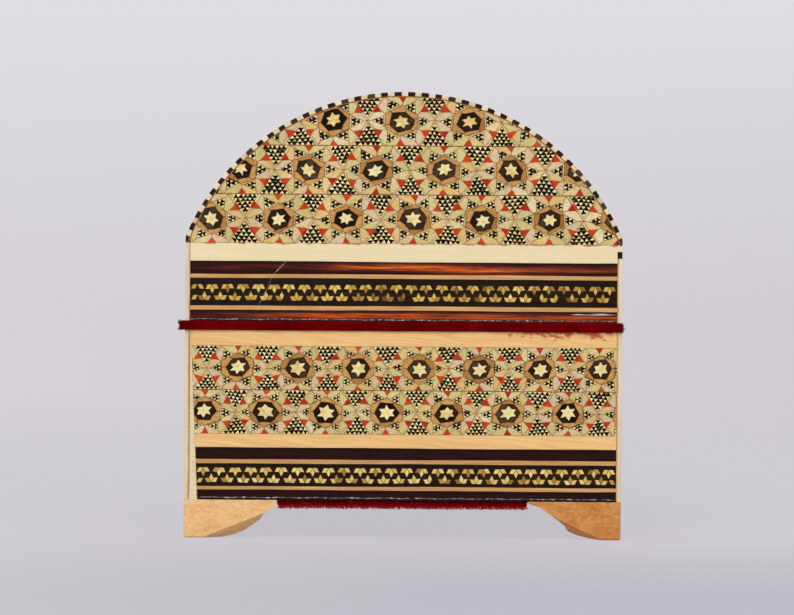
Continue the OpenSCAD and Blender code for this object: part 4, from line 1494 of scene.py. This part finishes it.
def nap_tree():
    """A Geometry Nodes tree that stands loose fibres on the faces that it is given."""
    tree, given = new_tree("velvet_nap", {
        "Density": "Float", "Length": "Float", "Thickness": "Float", "Seed": "Int", "Material": "Material"})
    seed, thickness = given("Seed"), given("Thickness")
    spots = put(tree, "GeometryNodeDistributePointsOnFaces", {
        "Mesh": given("Geometry"), "Density": given("Density"), "Seed": seed}, "Points")
    fibre = put(tree, "GeometryNodeMeshCone", {
        "Vertices": 3, "Side Segments": 1, "Fill Segments": 1, "Radius Top": thickness, "Radius Bottom": thickness,
        "Depth": given("Length")}, "Mesh", fill_type="NGON")
    turned = put(tree, "FunctionNodeRotateRotation", {
        "Rotation": spots.other("Rotation"),
        "Rotate By": chance(tree, (-0.75, -0.75, -3.1), (0.75, 0.75, 3.1), seed)}, rotation_space="LOCAL")
    return close_tree(tree, given, put(tree, "GeometryNodeInstanceOnPoints", {
        "Points": spots, "Instance": fibre, "Rotation": turned,
        "Scale": chance(tree, (0.6, 0.6, 0.35), (1.1, 1.1, 1.15), seed)}))


def nap_mesh(tree, edge, seed, finish, density=1.0, length=1.0, thickness=0.08):
    """Loose fibres on an edge, with their density and length as shares of the settings'."""
    velvet = settings()[2]
    return grown_mesh(tree, {
        "Density": velvet.nap_density * density, "Length": velvet.nap_length * length, "Thickness": thickness * MM,
        "Seed": seed, "Material": finish}, edge)


def rim_path(step):
    """Points along the rim velvet's outer edge, with the notches for the hinges."""
    x1, y0, y1 = highest("base_rim_velvet").x, lowest("base_rim_velvet").y, highest("base_rim_velvet").y
    near, far = lowest("hinge_right_pin").x - NOTCH_GAP, highest("hinge_right_pin").x + NOTCH_GAP
    corners = [(-x1, y0), (x1, y0), (x1, y1), (far, y1), (far, NOTCH_Y), (near, NOTCH_Y), (near, y1),
               (-near, y1), (-near, NOTCH_Y), (-far, NOTCH_Y), (-far, y1), (-x1, y1)]
    path = []
    for corner, after in zip(corners, corners[1:] + corners[:1]):
        path += divided(corner, after, max(1, round(math.dist(corner, after) / step)))
    return path


def rim_velvet(node, low, high, seed, joint_on_top):
    """One rim's velvet, a flat frame with a soft, slightly ragged outer edge, and that edge on its own."""
    draws = random.Random(seed)
    a, b = draws.uniform(0, 6), draws.uniform(0, 6)
    profile = [(0.5, 0.0), (0.12, 0.10), (0.0, 0.3), (0.0, 0.8), (0.03, 0.95), (0.2, 1.0)]
    if not joint_on_top:
        profile = [(inset, 1 - share) for inset, share in reversed(profile)]
    size, path, points = len(profile) + 2, rim_path(0.9), []
    for number, (x, y) in enumerate(path):
        inner = (max(-LINED_X, min(LINED_X, x)), max(-LINED_Y, min(LINED_Y, y)))
        reach = max(math.dist((x, y), inner), 1e-6)
        ragged = 0.09 * math.sin(number * 0.9 + a) + 0.07 * math.sin(number * 0.37 + b) + draws.uniform(-0.07, 0.07)
        points.append((*inner, low))
        for inset, share in profile:
            pull = max(0.0, inset - ragged * (1 if 0 < share < 1 else 0) + 0.14) / reach
            points.append((*between((x, y), inner, min(0.9, pull)), low + (high - low) * share))
        points.append((*inner, high))
    faces = [[i * size + k, after * size + k, after * size + (k + 1) % size, i * size + (k + 1) % size]
             for i, after in enumerate([*range(1, len(path)), 0]) for k in range(size)]
    mesh = mesh_of(node, points, faces)
    turned_out(mesh, 1e-6, 1e-7)
    return mesh, mesh_of(f"{node}_edge", points, [face for i, face in enumerate(faces) if i % size in (2, 3, 4)])


def slab_mesh(place, columns, bottom, top, step, draws):
    """A sheet of velvet on a face: a softly uneven front with rolled edges, and a flat back."""
    a, b, c = (draws.uniform(0, 6) for _ in range(3))
    rows = max(4, round(max(top(u) - bottom(u) for u in columns) / step))
    width, height = len(columns), rows + 1
    points, faces = [], []

    def depth_at(u, v, low, high):
        edge = min(u - columns[0], columns[-1] - u, v - low, high - v)
        roll = LINING * 0.2 * max(0.0, 1 - edge / (LINING * 0.9)) ** 2
        swell = 1 + math.sin(u * 0.33 + v * 0.21 + a) * math.sin(v * 0.4 - u * 0.17 + b)
        swell += 0.5 * math.sin(u * 0.9 + v * 0.8 + c)
        return roll + 0.05 * swell * max(0.0, min(1.0, edge / 4))

    for front in (True, False):
        for u in columns:
            low, high = bottom(u), top(u)
            for j in range(height):
                v = low + (high - low) * j / rows
                points.append(place(u, v, depth_at(u, v, low, high) if front else LINING))

    def quad(first, second, third, fourth):
        """A face through four (column, row, layer) points."""
        faces.append([layer * width * height + i * height + j for i, j, layer in (first, second, third, fourth)])

    for i in range(width - 1):
        for j in range(rows):
            quad((i, j, 0), (i + 1, j, 0), (i + 1, j + 1, 0), (i, j + 1, 0))
            quad((i, j + 1, 1), (i + 1, j + 1, 1), (i + 1, j, 1), (i, j, 1))
        quad((i, 0, 1), (i + 1, 0, 1), (i + 1, 0, 0), (i, 0, 0))
        quad((i, rows, 0), (i + 1, rows, 0), (i + 1, rows, 1), (i, rows, 1))
    for j in range(rows):
        quad((0, j, 0), (0, j + 1, 0), (0, j + 1, 1), (0, j, 1))
        quad((width - 1, j, 1), (width - 1, j + 1, 1), (width - 1, j + 1, 0), (width - 1, j, 0))
    return mesh_of("slab", points, faces)


# ---- Stage ----

# Where the camera stands across the end and above the floor, and the floor's reach, in metres
EYE_Y, EYE_Z, FLOOR_RADIUS = -0.0017, 0.0596, 30.0


def seen_by_picture(tree):
    """1 for rays that show this surface in the picture or in a gloss."""
    camera = put(tree, "ShaderNodeLightPath", output="Is Camera Ray")
    return camera.sum("MAXIMUM", camera.other("Is Glossy Ray").sum("MAXIMUM", camera.other("Is Transmission Ray")))


def backdrop(way):
    """The pale backdrop's shade in one direction, with painted light falloff: a little darker to the right, and lighter
    higher up.
    """
    low = mixed(way.part(1).spread(-0.13, 0.13), tint(214, 210, 216), tint(208, 204, 210))
    return mixed(way.part(2).spread(0.0, 0.1), low, tint(224, 222, 227))


def pale_room():
    """A world that shows the backdrop to the camera and lights the box softly."""
    world = bpy.data.worlds.new("pale_room")
    world.use_nodes = True
    tree = world.node_tree
    tree.nodes.clear()
    way = put(tree, "ShaderNodeTexCoord", output="Generated")
    seen = put(tree, "ShaderNodeBackground", {"Color": backdrop(way), "Strength": 1.0})
    soft = put(tree, "ShaderNodeBackground", {"Color": (1.0, 0.985, 0.96), "Strength": 0.41})
    both = put(tree, "ShaderNodeMixShader", {0: seen_by_picture(tree), 1: soft, 2: seen})
    tree.links.new(both.socket, tree.nodes.new("ShaderNodeOutputWorld").inputs[0])
    return world


def floor_finish(shader, place, colour, eye):
    """The floor, whose own shade fades into the backdrop's, so that no horizon shows, with a painted soft shadow in
    front of the box and to its right.
    """
    tree = place.tree
    surfaced(shader, colour, 0.9, 0.1)
    away = place.vector("LENGTH", output="Value")
    way = place.vector("SUBTRACT", eye).vector("NORMALIZE")
    # Painted shadow: the floor's colour darkens in front of the box and to its right
    painted_shadow = place.part(0).spread(0.06, 0.24) * place.part(1).spread(-0.12, 0.01, 0.25, 1.0)
    near = mixed(painted_shadow, tint(209, 206, 212), tint(187, 183, 193))
    glow = put(tree, "ShaderNodeEmission", {"Color": mixed(away.spread(0.2, 1.0), near, backdrop(way)),
                                            "Strength": 1.0})
    share = seen_by_picture(tree) * away.spread(0.12, 1.2, 0.84, 1.0)
    both = put(tree, "ShaderNodeMixShader", {0: share, 1: Wire(tree, shader.outputs[0]), 2: glow})
    out = next(node for node in tree.nodes if node.type == "OUTPUT_MATERIAL")
    tree.links.new(both.socket, out.inputs[0])


# ---- Operators ----

class BOX_OT_stage(bpy.types.Operator):
    """Set up the floor, the lamps and the camera"""
    bl_idname = "inlaid_box.stage"
    bl_label = "Stage"

    def execute(self, context):
        stage, scene = settings()[3], context.scene
        scene.view_settings.view_transform = "Standard"
        scene.world = pale_room()
        eye = (OUTER_X * MM + stage.camera_distance, EYE_Y, EYE_Z)

        mesh = mesh_of("floor", [], [], finish_named("pale_floor", floor_finish, tuple(stage.floor_colour), eye))
        with opened(mesh) as disc:
            bmesh.ops.create_circle(disc, cap_ends=True, segments=96, radius=FLOOR_RADIUS)
        add_object("floor", mesh)

        for name, spot, size, power in (
                ("key_lamp", (1.3, -0.25, 0.95), 0.9, stage.key_power),
                ("left_fill_lamp", (0.7, -1.4, 0.4), 0.8, stage.fill_power),
                ("right_fill_lamp", (0.8, 1.35, 0.45), 0.8, stage.fill_power * 0.9),
                ("top_lamp", (0.2, -0.2, 1.6), 0.9, stage.fill_power * 0.8),
                ("back_lamp", (-1.2, 0.4, 1.3), 0.9, stage.fill_power)):
            lamp = bpy.data.lights.new(name, "AREA")
            lamp.shape, lamp.size, lamp.energy = "DISK", size, power
            holder = bpy.data.objects.new(name, lamp)
            holder.location = spot
            aim = Vector((0, 0, 0.06)) - Vector(spot)
            holder.rotation_euler = aim.to_track_quat("-Z", "Y").to_euler()
            scene.collection.objects.link(holder)

        camera = bpy.data.cameras.new("camera")
        camera.sensor_fit, camera.sensor_width = "HORIZONTAL", 36
        camera.lens = camera.sensor_width * stage.camera_distance / stage.view_width
        camera.clip_start, camera.clip_end = 0.01, 60
        holder = bpy.data.objects.new("camera", camera)
        looking = Matrix(((0, 0, 1), (1, 0, 0), (0, 1, 0))).to_4x4()
        holder.matrix_world = Matrix.Translation(eye) @ looking @ Matrix.Rotation(stage.roll, 4, "Z")
        scene.collection.objects.link(holder)
        scene.camera = holder
        return {"FINISHED"}


class BOX_OT_flat_marquetry(bpy.types.Operator):
    """Lay the star marquetry on the body's four sides and the lid's two ends"""
    bl_idname = "inlaid_box.flat_marquetry"
    bl_label = "Flat marquetry"

    def execute(self, context):
        levels = node_levels("base_front_khatam")
        low, high = levels[0] - SHEET_SEAM / 2, levels[-1] + SHEET_SEAM / 2
        rise, run = high - low, slip_width(low) - slip_width(high)
        slip = (-rise, -run, -rise * (-CORE_Y + slip_width(low)) - run * low)
        for side, half_width, offsets, seed, edges in (
                ("right", CORE_Y, (-4.2, 4.0), 1, [slip]), ("left", CORE_Y, (2.6, -5.0), 2, ()),
                ("front", FACE_X, (0.6, 8.2), 3, ()), ("back", FACE_X, (-3.1, 5.2), 4, ())):
            flat_khatam(f"base_{side}_khatam", side, half_width, low, high, offsets, BODY_LOOK, seed, edges)
        for side, offsets, seed in (("right", (2.5, -7.3, -0.9), 5), ("left", (-3.2, 5.1, -2.4), 6)):
            flat_khatam(f"lid_{side}_khatam", side, CORE_Y, SPRING_Z, CROWN_Z - END_MARGIN, offsets, LID_LOOK, seed,
                        arch=END_R)
        return {"FINISHED"}


class BOX_OT_dome_marquetry(bpy.types.Operator):
    """Bend the star marquetry over the dome of the lid"""
    bl_idname = "inlaid_box.dome_marquetry"
    bl_label = "Dome marquetry"

    def execute(self, context):
        dome_khatam()
        return {"FINISHED"}


class BOX_OT_banding(bpy.types.Operator):
    """Lay the maple, rosewood, bone and thin strips round the body and the lid"""
    bl_idname = "inlaid_box.banding"
    bl_label = "Banding"

    def execute(self, context):
        banding = settings()[1]
        dark_red = tuple(banding.rosewood_colour)
        heart = [(0.0, dark_red), (0.28, tint(84, 28, 18)), (0.52, tint(142, 62, 32)), (0.78, tint(200, 84, 24)),
                 (1.0, tint(234, 116, 26))]
        maple = finish_named("maple_strip", strip_finish, tuple(banding.maple_colour), tint(218, 164, 98), 0.65,
                             stain=tint(168, 40, 22), pores=0.3, tilt=math.radians(5))
        # worn adds a scratch and a painted highlight of the lamp in the lacquer to rosewood and ebony
        rosewood = finish_named("rosewood_strip", strip_finish, dark_red, tint(20, 7, 5), 0.5,
                                coat=0.07, glow=heart, worn=True)
        line = finish_named("light_line", strip_finish, tuple(banding.line_colour), tint(164, 108, 54), 0.6)
        ebony = finish_named("band_ebony", strip_finish, tint(18, 10, 6), tint(44, 30, 17), 0.4, 0.07, worn=True)
        bone = finish_named("bone_band", strip_finish, tuple(banding.bone_colour), tint(222, 204, 158), 0.35,
                            stain=tint(176, 96, 50), pores=0.2)
        # The bead's pale flecks are partly dust, partly painted highlights
        bead = finish_named("lacquer_bead", bead_dust_and_glint_finish, tint(42, 16, 10), tint(176, 162, 168))
        firm = {round(z, 3) for z in (BODY_Z, BODY_TOP, LID_Z, SPRING_Z)}
        firm |= {node_levels("base_lower_maple_strips")[-1], node_levels("base_upper_maple_strips")[0]}
        for node, finish, slot, stain, glow in (
                ("base_upper_maple_strips", maple, "maple_wood", maple_stain, None),
                ("base_lower_maple_strips", maple, "maple_wood", maple_stain, None),
                ("base_upper_rosewood_strips", rosewood, "rosewood", None, plain_glow),
                ("base_lower_rosewood_strips", rosewood, "rosewood", None, plain_glow),
                ("base_light_lines", line, "light_wood_line", None, None),
                ("base_black_lines", ebony, "ebony", None, None),
                ("lid_bone_strips", bone, "bone", bone_stain, None),
                ("lid_upper_rosewood_strips", rosewood, "rosewood", None, heart_glow(UPPER_HEART, 0.6)),
                ("lid_lower_rosewood_strips", rosewood, "rosewood", None, heart_glow(LOWER_HEART, 0.7)),
                ("lid_light_lines", line, "light_wood_line", None, None),
                ("lid_black_lines", ebony, "ebony", None, None)):
            name, bars = f"{node}_laid", strips_of(node)
            mesh = strip_mesh(name, bars, finish, firm, 0.05, stain, glow, rows=8 if stain or glow else 1)
            if "lower_rosewood" in node:
                _, low, _, on_body = bars[0]
                piece = joined(name, [mesh, lacquer_bead("bead", low, on_body, bead, 17 if on_body else 18)])
            else:
                piece = add_object(name, mesh)
            settle(piece, node, slot)
        return {"FINISHED"}


class BOX_OT_half_star_bands(bpy.types.Operator):
    """Let the rows of half stars into their ebony bands"""
    bl_idname = "inlaid_box.half_star_bands"
    bl_label = "Half-star bands"

    def execute(self, context):
        tree = half_star_row_tree()
        star_band("base_star_bands", tiles_named("band_star_yellow", [
            (254, 232, 158), (248, 220, 136), (236, 200, 110), (246, 214, 130), (220, 176, 90), (156, 114, 54)],
            0.3, 0.08), tree, 11)
        star_band("lid_star_bands", tiles_named("band_star_amber", [
            (252, 230, 154), (244, 212, 122), (232, 194, 96), (214, 172, 78), (168, 126, 56), (96, 68, 30)],
            0.4, 0.06, 0.4), tree, 61)
        return {"FINISHED"}


class BOX_OT_edging(bpy.types.Operator):
    """Set the bone edging on the corners and the tapered slip"""
    bl_idname = "inlaid_box.edging"
    bl_label = "Edging"

    def execute(self, context):
        for node, bone in (("base_corner_edging", tint(228, 211, 176)), ("lid_corner_edging", tint(234, 223, 200))):
            piece = merged_copy(node, f"{node}_eased", 0.1)
            piece.data.materials.append(finish_named(f"{node}_bone", bone_edge_finish, bone, tint(176, 112, 54)))
            settle(piece, node, "bone")
        slip = finish_named("bone_slip", tile_finish, [tuple(settings()[1].bone_colour), tint(226, 206, 160)], 0.2,
                            glue=tint(158, 122, 82))
        name = "base_taper_slip_laid"
        settle(add_object(name, slip_mesh(name, slip)), "base_taper_slip", "bone")
        return {"FINISHED"}


class BOX_OT_stringing(bpy.types.Operator):
    """Set the dark and bone blocks along the arched edges of the lid"""
    bl_idname = "inlaid_box.stringing"
    bl_label = "Checked stringing"

    def execute(self, context):
        checked_stringing(arch_row_tree())
        return {"FINISHED"}


class BOX_OT_feet(bpy.types.Operator):
    """Shape and stain the four feet"""
    bl_idname = "inlaid_box.feet"
    bl_label = "Feet"

    def execute(self, context):
        blond = finish_named("blond_foot", foot_finish, tint(240, 196, 138), tint(222, 168, 106), 0.1)
        amber = finish_named("amber_foot", foot_finish, tint(214, 148, 80), tint(182, 108, 46), 0.2)
        shaped_foot("foot_front_right", ROUND_CUT, blond)
        shaped_foot("foot_back_right", HOLLOW_CUT, amber)
        shaped_foot("foot_front_left", ROUND_CUT, amber)
        shaped_foot("foot_back_left", HOLLOW_CUT, blond)
        return {"FINISHED"}


class BOX_OT_velvet_rims(bpy.types.Operator):
    """Lay the velvet on both rims and under the floor, with its loose nap"""
    bl_idname = "inlaid_box.velvet_rims"
    bl_label = "Velvet rims and underside"

    def execute(self, context):
        cloth = finish_named("red_velvet_cloth", velvet_finish, tuple(settings()[2].velvet_colour))
        tree, middle = nap_tree(), (BODY_TOP + LID_Z) / 2
        for node, low, high, seed, carrier, joint_on_top in (
                ("base_rim_velvet", BODY_TOP, middle - 0.01, 21, "base_front_board", True),
                ("lid_rim_velvet", middle + 0.01, LID_Z, 22, "lid_front_rail", False)):
            mesh, edge = rim_velvet(node, low, high, seed, joint_on_top)
            piece = add_object(f"{node}_cloth", mesh, cloth)
            shade_by_angle(piece, 60)
            corners = bpy.data.meshes.new("corners")
            corners.from_pydata([v.co for v in edge.vertices], [], [
                tuple(p.vertices) for p in edge.polygons
                if abs(p.center.y) > (OUTER_Y - 2.2) * MM and abs(p.center.x) > (OUTER_X - 1.5) * MM])
            nap = joined(f"{node}_nap", [nap_mesh(tree, edge, seed, cloth, thickness=0.07),
                                         nap_mesh(tree, corners, seed + 40, cloth, 1.6, 1.8)])
            settle(piece, node, "red_velvet")
            settle(nap, node, "red_velvet", False)
        self.underside(tree, cloth)
        return {"FINISHED"}

    @staticmethod
    def underside(tree, cloth):
        """Lays the cloth under the floor, with a fringe along its edges in a brighter red that paints the light falling
        on it, and thick nap at its ends.
        """
        node = "underside_velvet"
        piece = merged_copy(node, f"{node}_cloth", 0.3, 3)
        piece.data.materials.append(cloth)
        shade_by_angle(piece, 60)
        low, high, foot = lowest(node), highest(node), highest("foot_front_left")
        foot_gap, end_layers = 0.3, 12
        inner_x, inner_y = -foot.x - foot_gap, -foot.y - foot_gap
        side_z, end_z = (low.z + 0.1, high.z - 0.2), (low.z + 0.05, low.z)
        quads = []
        for x, y0, y1 in ((high.x, -inner_y, inner_y), (-high.x, inner_y, -inner_y)):
            quads.append([(x, y, side_z[level]) for y, level in ((y0, 0), (y1, 0), (y1, 1), (y0, 1))])
            quads += end_layers * [[(x, y1, end_z[0]), (x, y0, end_z[0]), (x * 0.994, y0, end_z[1]),
                                    (x * 0.994, y1, end_z[1])]]
        for y, x0, x1 in ((-high.y, -inner_x, inner_x), (high.y, inner_x, -inner_x)):
            quads.append([(x, y, side_z[level]) for x, level in ((x0, 0), (x1, 0), (x1, 1), (x0, 1))])
        edge = mesh_of("underside_edge", [point for quad in quads for point in quad],
                       [[4 * i + k for k in range(4)] for i in range(len(quads))])
        # Painted light: the fringe is the same velvet, given a brighter red where light catches it
        painted_lit_fringe = finish_named("red_velvet_fringe_painted_lit", velvet_finish, tint(214, 34, 46))
        nap = add_object(f"{node}_nap", nap_mesh(tree, edge, 23, painted_lit_fringe, length=2.2))
        settle(piece, node, "red_velvet")
        settle(nap, node, "red_velvet", False)


class BOX_OT_velvet_lining(bpy.types.Operator):
    """Line the inside of the body and of the lid with velvet"""
    bl_idname = "inlaid_box.velvet_lining"
    bl_label = "Velvet lining"

    def execute(self, context):
        draws = random.Random(31)
        floor_z = highest("base_floor_velvet").z
        along = evenly(-ROOM_X, ROOM_X, 2.5)

        def wall(side):
            """The place on a wall's face, seen from inside."""
            outwards = side_place(side, LINED_X, LINED_Y)
            return lambda u, v, depth: outwards(-u, v, -depth)

        self.lay("base_floor_velvet", "base_floor_board", (2 * ROOM_Y * MM, 2 * ROOM_X * MM), [
            slab_mesh(lambda u, v, depth: (u, v, floor_z - depth), along, lambda u: -ROOM_Y, lambda u: ROOM_Y,
                      2.5, draws)])

        self.lay("base_wall_velvet", "base_front_board", ((BODY_TOP - floor_z) * MM, 0.5074), [
            slab_mesh(wall(side), along if side in ("front", "back") else evenly(-LINED_Y, LINED_Y, 2.5),
                      lambda u: floor_z, lambda u: BODY_TOP, 2.5, draws) for side in SIDES])

        vault_r = highest("lid_dome_velvet").z - ARCH_Z - LINING
        spring = math.asin((SPRING_Z - ARCH_Z) / vault_r)
        low, high = spring * vault_r, (math.pi - spring) * vault_r

        def vault(u, v, depth):
            angle, radius = v / vault_r, vault_r + depth
            return -u, -radius * math.cos(angle), ARCH_Z + radius * math.sin(angle)

        self.lay("lid_dome_velvet", "lid_dome_board", (2 * ROOM_X * MM, (high - low) * MM), [
            slab_mesh(vault, along, lambda u: low, lambda u: high, 2.0, draws)])

        # Each end also fills the corners where the vault stands back from the rails
        end_r, corner = vault_r - 0.05, 0.02
        reach = math.sqrt(end_r ** 2 - (SPRING_Z + 0.3 - ARCH_Z) ** 2)
        columns = [-reach, -LINED_Y - corner, *evenly(-LINED_Y, LINED_Y, 2.0), LINED_Y + corner, reach]
        self.lay("lid_wall_velvet", "lid_right_end", (0.115, 2 * ROOM_X * MM), [
            *(slab_mesh(wall(side), along, lambda u: LID_Z, lambda u: SPRING_Z, 2.5, draws)
              for side in ("front", "back")),
            *(slab_mesh(wall(side), columns, lambda u: LID_Z if abs(u) <= LINED_Y else SPRING_Z,
                        lambda u: ARCH_Z + math.sqrt(end_r ** 2 - u ** 2), 2.0, draws)
              for side in ("left", "right"))], 0.01515)
        return {"FINISHED"}

    @staticmethod
    def lay(node, carrier, flat, meshes, area=None):
        """Dresses one lining."""
        name = f"{node}_cloth"
        piece = joined(name, meshes) if len(meshes) > 1 else add_object(name, meshes[0])
        piece.data.materials.append(finish_named("red_velvet_cloth", velvet_finish, tuple(settings()[2].velvet_colour)))
        turned_out(piece.data, 1e-7)
        shade_by_angle(piece, 60)
        settle(piece, node, "red_velvet")


class BOX_OT_boards_and_hinges(bpy.types.Operator):
    """Finish the hidden boards and the small brass hinges"""
    bl_idname = "inlaid_box.boards_and_hinges"
    bl_label = "Boards and hinges"

    def execute(self, context):
        kinds = {
            "board_wood": finish_named("sawn_board", board_finish, tint(196, 152, 100), tint(160, 116, 70)),
            "hinge_brass": finish_named("aged_brass", metal_finish, tint(214, 176, 98), tint(150, 108, 52), 0.32),
            "pin_steel": finish_named("pin_wire", metal_finish, tint(190, 190, 186), tint(120, 118, 112), 0.3)}
        for row in frame["record"]["subparts"]:
            finish = kinds.get(row["material_slot"])
            if finish:
                for slot in bpy.data.objects[row["node"]].material_slots:
                    slot.material = finish
        return {"FINISHED"}


class BOX_PT_panel(bpy.types.Panel):
    """The box's pieces and their settings"""
    bl_idname = "BOX_PT_panel"
    bl_label = "Inlaid Box"
    bl_space_type = "VIEW_3D"
    bl_region_type = "UI"
    bl_category = "Inlaid Box"

    def draw(self, context):
        for operator in OPERATORS:
            self.layout.operator(operator.bl_idname)
        for group in settings():
            box = self.layout.box()
            for name in group.__annotations__:
                box.prop(group, name)


OPERATORS = (
    BOX_OT_stage, BOX_OT_flat_marquetry, BOX_OT_dome_marquetry, BOX_OT_banding, BOX_OT_half_star_bands, BOX_OT_edging,
    BOX_OT_stringing, BOX_OT_feet, BOX_OT_velvet_rims, BOX_OT_velvet_lining, BOX_OT_boards_and_hinges)
GROUPS = {"box_marquetry": MarquetrySettings, "box_banding": BandingSettings, "box_velvet": VelvetSettings,
          "box_stage": StageSettings}


def register():
    for kind in (*GROUPS.values(), *OPERATORS, BOX_PT_panel):
        bpy.utils.register_class(kind)
    for name, group in GROUPS.items():
        setattr(bpy.types.Scene, name, PointerProperty(type=group))


def unregister():
    for name in GROUPS:
        delattr(bpy.types.Scene, name)
    for kind in reversed((*GROUPS.values(), *OPERATORS, BOX_PT_panel)):
        bpy.utils.unregister_class(kind)


def main():
    register()
    for operator in OPERATORS:
        group, name = operator.bl_idname.split(".")
        getattr(getattr(bpy.ops, group), name)()


if __name__ == "__main__":
    main()
